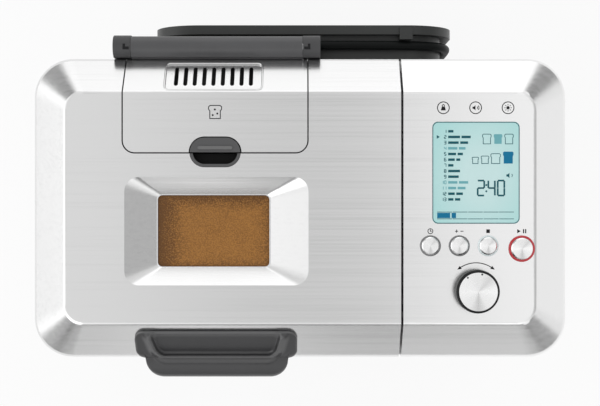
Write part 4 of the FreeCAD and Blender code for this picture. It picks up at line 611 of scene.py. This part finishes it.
LOOKS = {
    steel: ("lid_skin", "flap_skin"),
    casing_steel: ("outer_casing",),
    panel_steel: ("control_cover",),
    spun: ("dial_cap", "timer_button", "adjust_button", "cancel_button", "start_button"),
    charcoal: ("base_tray", "lid_handle"),
    hinge_grey: ("flap_hinge_cover",),
    post_grey: ("hinge_posts",),
    latch_plastic(): ("latch_lever",),
    pocket_plastic(): ("latch_pocket",),
    black_plastic: ("select_dial", "flap_liner"),
    spool_plastic: ("cord_spool", "spool_flange", "cord_clip"),
    inner_plastic: ("panel_frame", "lid_liner", "window_shroud", "lcd_module"),
    red_plastic: ("start_ring",),
    ring_plastic(): ("button_rings",),
    rubber: ("rubber_feet", "drive_belt", "strain_relief"),
    gasket: ("lid_gasket",),
    cord_sheath: ("power_cord", "power_plug"),
    galvanised: ("top_deck", "oven_chamber", "drive_frame"),
    aluminium: ("bearing_housing", "drive_motor", "driven_pulley", "dispenser_solenoid", "pan_socket"),
    bright_steel: (
        "casing_screws",
        "hinge_pin",
        "drive_shaft",
        "paddle_shaft",
        "pan_handle",
        "motor_pulley",
        "temperature_sensor",
    ),
    bronze: ("shaft_bushes", "pan_bearing"),
    hot_steel: ("heating_element",),
    pan_coat: ("bread_pan", "paddle_hub", "paddle_blade"),
    smoky: ("dispenser_hopper", "trapdoor"),
    lamp_glass: ("chamber_lamp",),
    window_pane(): ("window_glass",),
    display(): ("lcd_lens",),
    circuit_board(): ("control_board", "power_board"),
}


def paint_nodes():
    for material, names in LOOKS.items():
        for name in names:
            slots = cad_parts[name].data.materials
            slots.clear()
            slots.append(material)


# Pieces made here


def to_mesh(model, name, smooth=False):
    """A mesh from a model, with its faces turned outward."""
    bmesh.ops.recalc_face_normals(model, faces=model.faces)
    for face in model.faces:
        face.smooth = smooth
    mesh = bpy.data.meshes.new(name)
    model.to_mesh(mesh)
    model.free()
    return mesh


def new_piece(name, mesh, material, body):
    piece = bpy.data.objects.new(name, mesh)
    scene.collection.objects.link(piece)
    mesh.materials.append(material)
    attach(piece, body)
    return piece


def add_walls(model, low_ring, high_ring, closed=True):
    """Faces between two rings of points, or between two rows of them."""
    count = len(low_ring)
    for number in range(count if closed else count - 1):
        after = (number + 1) % count
        model.faces.new((low_ring[number], low_ring[after], high_ring[after], high_ring[number]))


def add_fill(model, outline, low, high):
    """A flat plate with an outline, between two heights."""
    rings = [[model.verts.new(Vector((x, y, z)) * MM) for x, y in outline] for z in (low, high)]
    model.faces.new(rings[1])
    model.faces.new(list(reversed(rings[0])))
    add_walls(model, *rings)


def level_face(y):
    """How far a level face falls away."""
    return 0


# The cosine at which a line's sharp corner stops growing
SHARP_CORNER = 0.4


def add_line(model, points, width, low, high, closed=False, fall=level_face):
    """A line of a width along points, between two heights over a face that falls away along Y."""
    count = len(points)
    sides = {-1: [], 1: []}
    for number, (x, y) in enumerate(points):
        here = Vector((x, y))
        before = Vector(points[number - 1]) if closed or number else None
        after = Vector(points[(number + 1) % count]) if closed or number < count - 1 else None
        back = (here - before).normalized() if before else (after - here).normalized()
        ahead = (after - here).normalized() if after else back
        way = (back + ahead).normalized()
        normal = Vector((-way.y, way.x))
        reach = width / 2 / max(SHARP_CORNER, normal.dot(Vector((-back.y, back.x))))
        for side, spots in sides.items():
            spots.append(here + normal * reach * side)
    rings = {
        (side, z): [model.verts.new(Vector((*spot, z - fall(spot.y))) * MM) for spot in spots]
        for side, spots in sides.items()
        for z in (low, high)
    }
    add_walls(model, rings[-1, high], rings[1, high], closed)
    add_walls(model, rings[1, low], rings[-1, low], closed)
    add_walls(model, rings[1, high], rings[1, low], closed)
    add_walls(model, rings[-1, low], rings[-1, high], closed)
    if closed:
        return
    corners = ((-1, low), (-1, high), (1, high), (1, low))
    for end in (0, -1):
        model.faces.new([rings[corner][end] for corner in corners])


INK_DEPTH = 0.05


def print_marks(name, fills, lines, height, material, body, fall=level_face):
    """Printed marks, or painted shade lines, on a face at a height: filled outlines, and lines as points,
    width and closed.
    """
    model = bmesh.new()
    for outline in fills:
        add_fill(model, outline, height - INK_DEPTH, height + INK_DEPTH)
    for points, width, closed in lines:
        add_line(model, points, width, height - INK_DEPTH, height + INK_DEPTH, closed, fall)
    new_piece(name, to_mesh(model, name), material, body)


# Panel, flap and dial marks

PAD_X = (109.3, 133.9, 158.6)
PAD_Y = 67.7
PAD_RADIUS = 4.5
LABEL_Y = -26.4
LABELLED = ("timer_button", "adjust_button", "cancel_button", "start_button")
LINE = 0.7
SIGN_LINE = 0.6
ARC_RADIUS = 21.3
ARC_REACH = 33
ARROW_LONG = 3.2
ARROW_HALF = 1.4

# Signs about their own middles: filled outlines, and lines with whether they close
WEIGHT = ([[(-1.9, -2), (1.9, -2), (1.3, 0.6), (-1.3, 0.6)]], [(arc(0, 1.5, 0.9, steps=20), True)])
HORN = [(-2.4, -0.8), (-1.4, -0.8), (-0.1, -2.0), (-0.1, 2.0), (-1.4, 0.8), (-2.4, 0.8)]
LOUDSPEAKER = ([HORN], [(arc(0.3, 0, radius, -45, 90, 10), False) for radius in (1.2, 2.3)])
SMALL_SUN = ([arc(0, 0, 1.3, steps=20)], [(ray(45 * number, (1.9, 2.8)), False) for number in range(8)])
TIMER = ([], [(arc(0, 0, 1.9, steps=24), True), ([(0, 1.3), (0, 0), (1.0, 0)], False)])
PLUS = [[(-3.2, 0), (-0.8, 0)], [(-2.0, -1.2), (-2.0, 1.2)]]
MINUS = [(0.9, 0), (3.2, 0)]
PLUS_AND_MINUS = ([], [(stroke, False) for stroke in (*PLUS, MINUS)])
STOP = ([rectangle(-1.4, -1.4, 1.4, 1.4)], [])
PLAY = [(-3.4, -1.6), (-0.7, 0), (-3.4, 1.6)]
PLAY_AND_PAUSE = ([PLAY, rectangle(1.0, -1.6, 1.9, 1.6), rectangle(2.6, -1.6, 3.5, 1.6)], [])
SIGNS = (WEIGHT, LOUDSPEAKER, SMALL_SUN, TIMER, PLUS_AND_MINUS, STOP, PLAY_AND_PAUSE)


def panel_marks():
    """Three touch pads, a sign on each pad and over each button, and the arrowed arc over the dial."""
    fills = []
    lines = [(arc(x, PAD_Y, PAD_RADIUS), LINE, True) for x in PAD_X]
    places = [(x, PAD_Y) for x in PAD_X] + [(centre(name).x, LABEL_Y) for name in LABELLED]
    for (x, y), (outlines, strokes) in zip(places, SIGNS):
        fills += [moved(outline, x, y) for outline in outlines]
        lines += [(moved(points, x, y), SIGN_LINE, closed) for points, closed in strokes]
    lines.append((arc(DIAL.x, DIAL.y, ARC_RADIUS, 90 - ARC_REACH, 2 * ARC_REACH, 30), LINE, False))
    for side in (-1, 1):
        turn = math.radians(90 - side * ARC_REACH)
        tip = Vector((DIAL.x + ARC_RADIUS * math.cos(turn), DIAL.y + ARC_RADIUS * math.sin(turn)))
        ahead = Vector((math.sin(turn), -math.cos(turn))) * side
        across = Vector((-ahead.y, ahead.x)) * ARROW_HALF
        fills.append([tuple(tip + ahead * ARROW_LONG), tuple(tip + across), tuple(tip - across)])
    print_marks("panel_marks", fills, lines, TOP, print_and_shade_ink, "base")


SLICE_Y = 64.5
SLICE = mirrored([(4, -5), (4, 0.8), (5, 2.2), (5, 3.9), (3.8, 5)])
SLICE_DOTS = ((-1.8, -2.4), (1.7, -1.2), (-0.2, 1.9))
SLICE_DOT = 0.75


def flap_marks():
    """A slice of bread with three dots, on the flap."""
    dots = [arc(LID_X + x, SLICE_Y + y, SLICE_DOT, steps=16) for x, y in SLICE_DOTS]
    edge = (moved(SLICE, LID_X, SLICE_Y), LINE, True)
    print_marks("flap_marks", dots, [edge], TOP, print_and_shade_ink, "flap")


# Width of the dark line round the cap's edge: partly the black skirt, partly painted shade of the gap
DIAL_SHADE_LINE = 1.0
DIAL_DOTS = ((-8.0, 10.7), (2.8, 13.1))
DIAL_DOT = 0.7


def dial_marks():
    """A dark line painted round the dial's cap, for the black skirt below it and the painted shade of the
    gap, and two dots on the cap.
    """
    dots = [arc(DIAL.x + x, DIAL.y + y, DIAL_DOT, steps=16) for x, y in DIAL_DOTS]
    radius = extent("dial_cap")[1].x - DIAL.x
    edge = (arc(DIAL.x, DIAL.y, radius, steps=72), DIAL_SHADE_LINE, True)
    print_marks("dial_marks", dots, [edge], DIAL_TOP, print_and_shade_ink, "dial")


# The display's marks, about its middle

EDGE_HALF = (32.9, 38.5)
EDGE_ROUND = 4.2
EDGE_LINE = 0.6
FINE_LINE = 0.5
LIST_ROWS = 13
LIST_LEFT = -26.4
LIST_TOP = 31.6
LIST_STEP = 4.33
FAINT_ROWS = (3, 9, 10)
NUMBER_RIGHT = LIST_LEFT + 3.6
WORD_LEFT = LIST_LEFT + 5.2
WORD_GAP = 1.2
WORD_TALL = 1.9
SHORTEST_WORD = 2
POINTER = [(-1.1, -1.4), (1.2, 0), (-1.1, 1.4)]
POINTER_X = -28.8
BIG_DIGIT = (5.0, 11.4)
BIG_LINE = 1.3
SMALL_DIGIT = (1.35, 2.3)
DIGIT_STEP = 1.6
DIGIT_SHORT = 0.1
# Places and digits
CLOCK = ((3.8, 2), (11.9, 4), (19.1, 0))
CLOCK_Y = -17.4
COLON_X = 7.9
COLON_Y = (-14.2, -9.4)
COLON_DOT = 0.75
BROWNING = (8.3, 16.8, 25.2)
BROWNING_Y = 22.0
BROWNING_SIZE = (6.5, 7.4)
# A tin loaf's right half, as shares of half its width and of its height
LOAF = ((0.86, 0), (0.86, 0.62), (1, 0.72), (1, 0.92), (0.8, 1))
# Places, widths and heights
SIZES = ((-0.5, 4.8, 4.8), (6.9, 5.8, 5.7), (15.0, 7.3, 7.5), (24.6, 8.0, 9.1))
SIZES_Y = 7.0
HORN_X = 25.6
HORN_Y = -2.1
HORN_WAVE_X = 26.1
HORN_WAVE = 1.6
PROGRESS_LEFT = -29.6
PROGRESS_Y = (-30.0, -35.2)
PROGRESS_PARTS = 5
PROGRESS_STEP = 11.8
PROGRESS_LONG = 11.3
PROGRESS_LINE = 0.45
PROGRESS_DONE = (rectangle(PROGRESS_LEFT, -34.6, -19.7, -30.6), rectangle(-18.6, -34.6, -15.2, -30.6))
# The seven bars of a digit, as corners of a box one wide and two tall
BARS = {
    "a": ((0, 2), (1, 2)),
    "b": ((1, 2), (1, 1)),
    "c": ((1, 1), (1, 0)),
    "d": ((0, 0), (1, 0)),
    "e": ((0, 1), (0, 0)),
    "f": ((0, 2), (0, 1)),
    "g": ((0, 1), (1, 1)),
}
DIGITS = ("abcdef", "bc", "abged", "abgcd", "fgbc", "afgcd", "afgedc", "abc", "abcdefg", "abcdfg")


def digit_lines(number, x, y, size, width):
    """A digit's bars, drawn a little short of its corners."""
    lines = []
    for bar in DIGITS[number]:
        (ax, ay), (bx, by) = BARS[bar]
        start = Vector((x + ax * size[0], y + ay * size[1] / 2))
        end = Vector((x + bx * size[0], y + by * size[1] / 2))
        short = (end - start).normalized() * width * DIGIT_SHORT
        lines.append(([tuple(start + short), tuple(end - short)], width, False))
    return lines


def number_lines(number, right, y, size, width):
    """A number of one or two digits that ends at a place."""
    lines = []
    for step, letter in enumerate(reversed(str(number))):
        left = right - size[0] - step * size[0] * DIGIT_STEP
        lines += digit_lines(int(letter), left, y, size, width)
    return lines


def list_row(row):
    """A row of the list: its number, and one or two bars for words."""
    middle = LIST_TOP - row * LIST_STEP
    marks = number_lines(row + 1, NUMBER_RIGHT, middle - SMALL_DIGIT[1] / 2, SMALL_DIGIT, FINE_LINE)
    # lengths that vary from row to row
    first = 4 + (row * 5) % 6
    second = (row * 7) % 8
    marks.append(([(WORD_LEFT, middle), (WORD_LEFT + first, middle)], WORD_TALL, False))
    if second > SHORTEST_WORD:
        left = WORD_LEFT + first + WORD_GAP
        marks.append(([(left, middle), (left + second, middle)], WORD_TALL, False))
    return marks


def loaf(x, y, width, height):
    """A tin loaf's outline, standing on y."""
    right = [(width / 2 * across, height * up) for across, up in LOAF]
    return moved(mirrored(right), x, y)


def print_lens(name, fills, lines, material):
    fills = [moved(outline, LENS.x, LENS.y) for outline in fills]
    lines = [(moved(points, LENS.x, LENS.y), width, closed) for points, width, closed in lines]
    print_marks(name, fills, lines, LENS_TOP, material, "base")


def display_marks():
    """A numbered list with bars, two rows of loaves, a clock and a progress bar."""
    dark_lines = [(rounded_path((0, 0), EDGE_HALF, EDGE_ROUND, 8), EDGE_LINE, True)]
    faint_lines = []
    for row in range(LIST_ROWS):
        lines = faint_lines if row in FAINT_ROWS else dark_lines
        lines.extend(list_row(row))
    dark_fills = [moved(POINTER, POINTER_X, LIST_TOP - LIST_STEP)]
    browning = [loaf(x, BROWNING_Y, *BROWNING_SIZE) for x in BROWNING]
    sizes = [loaf(x, SIZES_Y, width, height) for x, width, height in SIZES]
    for outline in (browning[0], browning[2], *sizes[:-1]):
        dark_lines.append((outline, FINE_LINE, True))
    for x, number in CLOCK:
        dark_lines += digit_lines(number, x - BIG_DIGIT[0] / 2, CLOCK_Y, BIG_DIGIT, BIG_LINE)
    dark_fills += [arc(COLON_X, y, COLON_DOT, steps=12) for y in COLON_Y]
    dark_fills.append(moved(HORN, HORN_X, HORN_Y))
    dark_lines.append((arc(HORN_WAVE_X, HORN_Y, HORN_WAVE, -45, 90, 8), FINE_LINE, False))
    for y in PROGRESS_Y:
        for part in range(PROGRESS_PARTS):
            left = PROGRESS_LEFT + part * PROGRESS_STEP
            dark_lines.append(([(left, y), (left + PROGRESS_LONG, y)], PROGRESS_LINE, False))
    print_lens("display_dark", dark_fills, dark_lines, teal_ink)
    print_lens("display_faint", [browning[1]], faint_lines, pale_ink)
    print_lens("display_blue", [sizes[-1], *PROGRESS_DONE], [], blue_ink)


# The cord

CORD_RADIUS = 3.7
CORD_Y = 124.3
TURN_CENTRE = (3, 170)
TURN_HALF = (121.2, 86.2)
TURN_POWER = 2 / 5.5
TURN_POINTS = 30
TURN_START = -78
TURN_SWEEP = 330
CORD_START = (44, 86)
CORD_END = (-40, 86)


def make_cord():
    """The wound cord: out of the strain relief, once round the spool's hub and back to the plug."""
    points = [CORD_START]
    for step in range(TURN_POINTS + 1):
        turn = math.radians(TURN_START + TURN_SWEEP * step / TURN_POINTS)
        spot = []
        for middle, half, share in zip(TURN_CENTRE, TURN_HALF, (math.cos(turn), math.sin(turn))):
            spot.append(middle + half * math.copysign(abs(share) ** TURN_POWER, share))
        points.append(tuple(spot))
    points.append(CORD_END)
    curve = bpy.data.curves.new("wound_cord", "CURVE")
    curve.dimensions = "3D"
    curve.bevel_depth = CORD_RADIUS * MM
    curve.bevel_resolution = 6
    curve.resolution_u = 10
    curve.use_fill_caps = True
    line = curve.splines.new("NURBS")
    line.points.add(len(points) - 1)
    for item, (x, z) in zip(line.points, points):
        item.co = (x * MM, CORD_Y * MM, z * MM, 1)
    line.order_u = 3
    line.use_endpoint_u = True
    cord = bpy.data.objects.new("wound_cord", curve)
    scene.collection.objects.link(cord)
    curve.materials.append(cord_sheath)
    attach(cord, "base")
    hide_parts("power_cord")


# The lid's handle

HANDLE_HALF = 62.6
HANDLE_REAR_ROUND = 8
GRIP_HALF = 55.5
GRIP_FRONT = -141.2
GRIP_ROUND = 14
PLATE_FRONT = -125.9
PLATE_FRONT_ROUND = 7.4
PLATE_REAR = -102.9
PLATE_LIFT = 3.4
PLATE_SINK = 0.4
PLATE_EDGE = 2.2
RIM_Y = -125.2
RIM_Z = 305
BEVEL_RISE = 25 / 28
UNDERSIDE = 297.6
LIP_START = RIM_Y + 2
LIP_SLOPE = 1.2
LIP_BEND = 4.6
LIP_EDGE = 3.4
EDGE_FALL = 0.8
SIDE_STEEPER = 1.2
SCOOP_HALF = 51
SCOOP_NARROWS = 6
SCOOP_REAR = -103.4
SCOOP_FRONT = -123.4
SCOOP_ROUND = 6
SCOOP_DEPTH = 2.2
# Distances out of the scoop's outline that the scoop and the ridge round it rise and fall between
SCOOP_SIDE = (-3.6, 0.4)
RIDGE_INNER = (-1.6, 1.2)
RIDGE_OUTER = (1.6, 7.5)
RIDGE_HEIGHT = 4.0
RIDGE_END = 7
LEAST_THICK = 0.3
HANDLE_COLUMNS = 140
HANDLE_ROWS = 46
# The outermost column stops just short of the end, where the two corners would meet
LAST_COLUMN = 0.9995
SHARP_ANGLE = 50


def round_off(into, radius):
    """How far a rounded edge falls, at a distance into the rounding."""
    if into <= 0:
        return 0
    return radius - math.sqrt(max(0, radius**2 - into**2))


def handle_front(x):
    off = abs(x)
    if off <= GRIP_HALF:
        return GRIP_FRONT + round_off(off - (GRIP_HALF - GRIP_ROUND), GRIP_ROUND)
    return PLATE_FRONT + round_off(off - (HANDLE_HALF - PLATE_FRONT_ROUND), PLATE_FRONT_ROUND)


def handle_rear(x):
    return PLATE_REAR - round_off(abs(x) - (HANDLE_HALF - HANDLE_REAR_ROUND), HANDLE_REAR_ROUND)


def smooth_step(value, low, high):
    share = min(1, max(0, (value - low) / (high - low)))
    return share * share * (3 - 2 * share)


def scoop_edge(x, y):
    """The distance out of the scoop's rounded outline, below zero inside it."""
    middle = (SCOOP_REAR + SCOOP_FRONT) / 2
    narrower = SCOOP_NARROWS * (SCOOP_REAR - y) / (SCOOP_REAR - SCOOP_FRONT)
    over_x = abs(x) - SCOOP_HALF + min(SCOOP_NARROWS, max(0, narrower)) + SCOOP_ROUND
    over_y = abs(y - middle) - (SCOOP_REAR - SCOOP_FRONT) / 2 + SCOOP_ROUND
    outside = math.hypot(max(over_x, 0), max(over_y, 0))
    return outside + min(max(over_x, over_y), 0) - SCOOP_ROUND


def handle_top(x, y):
    """The handle's upper face: a plate on the bevel, a sunk scoop, a ridge round it and a lip in front."""
    bevel = RIM_Z + max(0, y - RIM_Y) * BEVEL_RISE + PLATE_LIFT
    lip = max(0, LIP_START - y) / (LIP_START - GRIP_FRONT)
    height = bevel - LIP_SLOPE * lip - LIP_BEND * lip * lip
    edge = scoop_edge(x, y)
    ridge = smooth_step(edge, *RIDGE_INNER) * (1 - smooth_step(edge, *RIDGE_OUTER))
    behind = smooth_step(y, SCOOP_REAR - RIDGE_END, SCOOP_REAR)
    height += RIDGE_HEIGHT * ridge * (1 - behind)
    height -= SCOOP_DEPTH * (1 - smooth_step(edge, *SCOOP_SIDE))
    rim = min(y - handle_front(x), handle_rear(x) - y, (HANDLE_HALF - abs(x)) * SIDE_STEEPER)
    rounding = PLATE_EDGE if y > RIM_Y else LIP_EDGE
    return height - round_off(rounding - rim, rounding) * EDGE_FALL


def handle_under(y):
    if y < RIM_Y:
        return UNDERSIDE
    return RIM_Z + (y - RIM_Y) * BEVEL_RISE - PLATE_SINK


def make_handle():
    """A closed shell between the handle's upper and lower faces, on a grid that follows its outline."""
    model = bmesh.new()
    upper = []
    lower = []
    for column in range(HANDLE_COLUMNS + 1):
        share = column / HANDLE_COLUMNS * 2 - 1
        x = HANDLE_HALF * math.sin(share * math.pi / 2) * LAST_COLUMN
        front = handle_front(x)
        rear = handle_rear(x)
        upper.append([])
        lower.append([])
        for row in range(HANDLE_ROWS + 1):
            y = front + (rear - front) * row / HANDLE_ROWS
            high = handle_top(x, y)
            low = min(handle_under(y), high - LEAST_THICK)
            upper[-1].append(model.verts.new(Vector((LID_X + x, y, high)) * MM))
            lower[-1].append(model.verts.new(Vector((LID_X + x, y, low)) * MM))
    for column in range(HANDLE_COLUMNS):
        for sheet in (upper, lower):
            add_walls(model, sheet[column], sheet[column + 1], closed=False)
    for row in (0, HANDLE_ROWS):
        add_walls(model, [line[row] for line in lower], [line[row] for line in upper], closed=False)
    for column in (0, HANDLE_COLUMNS):
        add_walls(model, lower[column], upper[column], closed=False)
    mesh = to_mesh(model, "handle_shell", smooth=True)
    mesh.set_sharp_from_angle(angle=math.radians(SHARP_ANGLE))
    handle = new_piece("handle_shell", mesh, handle_plastic, "lid")
    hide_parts("lid_handle")


# Pressed beads

VENT_HALF = (37.5, 11.2)
VENT_MIDDLE = (-66.5, 92.7)
VENT_ROUND = 3.5
VENT_BEAD = (1.5, 0.6)
PANE_HALF = (43.5, 28)
PANE_MIDDLE = (-66.55, -26.4)
PANE_HEIGHT = 318
PANE_ROUND = 4
PANE_BEAD = (1.1, 0.35)
BEAD_STEPS = 6
BEAD_SINK = 0.05
BEAD_ROOT = 0.3
BEVEL_FOOT = 107.8


def make_bead(name, points, normal, width, height, body):
    """A half-round bead of steel along a closed line on a flat face."""
    model = bmesh.new()
    rings = []
    for number, here in enumerate(points):
        ahead = (points[(number + 1) % len(points)] - points[number - 1]).normalized()
        side = ahead.cross(normal)
        ring = []
        for step in range(BEAD_STEPS + 1):
            turn = math.pi * step / BEAD_STEPS
            up = height * math.sin(turn) - BEAD_SINK
            spot = here + side * (width / 2 * math.cos(turn)) + normal * up
            ring.append(model.verts.new(spot * MM))
        ring.append(model.verts.new((here - normal * BEAD_ROOT) * MM))
        rings.append(ring)
    for number, ring in enumerate(rings):
        add_walls(model, ring, rings[(number + 1) % len(rings)])
    new_piece(name, to_mesh(model, name, smooth=True), steel, body)


def make_beads():
    """The rims pressed round the flap's vent and round the window."""
    slope = Vector((0, BEVEL_RISE, 1)).normalized()
    plan = rounded_path(VENT_MIDDLE, VENT_HALF, VENT_ROUND)
    vent = [Vector((x, y, RIM_Z + (BEVEL_FOOT - y) * BEVEL_RISE)) for x, y in plan]
    make_bead("vent_rim", vent, slope, *VENT_BEAD, "flap")
    pane = [Vector((x, y, PANE_HEIGHT)) for x, y in rounded_path(PANE_MIDDLE, PANE_HALF, PANE_ROUND)]
    make_bead("window_rim", pane, Vector((0, 0, 1)), *PANE_BEAD, "lid")


# Painted shade along the edge of the flap's opening

FLAP_HALF = 70.35
FLAP_FRONT = 33.8
FLAP_ROUND = 9
FLAP_GAP = 0.6
SEAM_LINE = 0.5
SEAM_TUCK = 0.1
SEAM_REAR = 106.5
LATCH_HALF = 19.6
BEVEL_TOP = 79.8


def bevel_fall(y):
    """How far the rear bevel falls away."""
    return max(0, y - BEVEL_TOP) * BEVEL_RISE


def flap_seam():
    """Painted shade along the edge of the opening that the flap lies in, from the hinge to the latch on each
    side.
    """
    out = FLAP_GAP + SEAM_LINE / 2 - SEAM_TUCK
    right = FLAP_HALF + out
    bend = arc(FLAP_HALF - FLAP_ROUND, FLAP_FRONT + FLAP_ROUND, FLAP_ROUND + out, 0, -90, 12)
    path = [(right, SEAM_REAR), (right, BEVEL_TOP), *bend, (LATCH_HALF, FLAP_FRONT - out)]
    lines = [([(LID_X + side * x, y) for x, y in path], SEAM_LINE, False) for side in (-1, 1)]
    print_marks("flap_seam", [], lines, TOP, print_and_shade_ink, "lid", bevel_fall)


# Painted shade of the hinge notches

NOTCH_Y = 117.4
NOTCH = [(1.2, -3.2), (6.0, -3.2), (6.0, 1.2), (4.0, 1.2), (4.0, -1.0), (1.2, -1.0)]


def hinge_notches():
    """A dark mark painted on each hinge post, as the shade of a step on its inner side."""
    height = extent("hinge_posts")[1].z
    bar_low, bar_high = extent("flap_hinge_cover")
    outlines = []
    for inner, side in ((bar_low.x, -1), (bar_high.x, 1)):
        outline = [(inner + side * x, NOTCH_Y + y) for x, y in NOTCH]
        outlines.append(outline if side > 0 else outline[::-1])
    print_marks("hinge_notches", outlines, [], height, print_and_shade_ink, "base")


make_camera()
make_world()
make_sun()
make_floor()
paint_nodes()
make_cord()
make_handle()
panel_marks()
flap_marks()
dial_marks()
display_marks()
hinge_notches()
make_beads()
flap_seam()
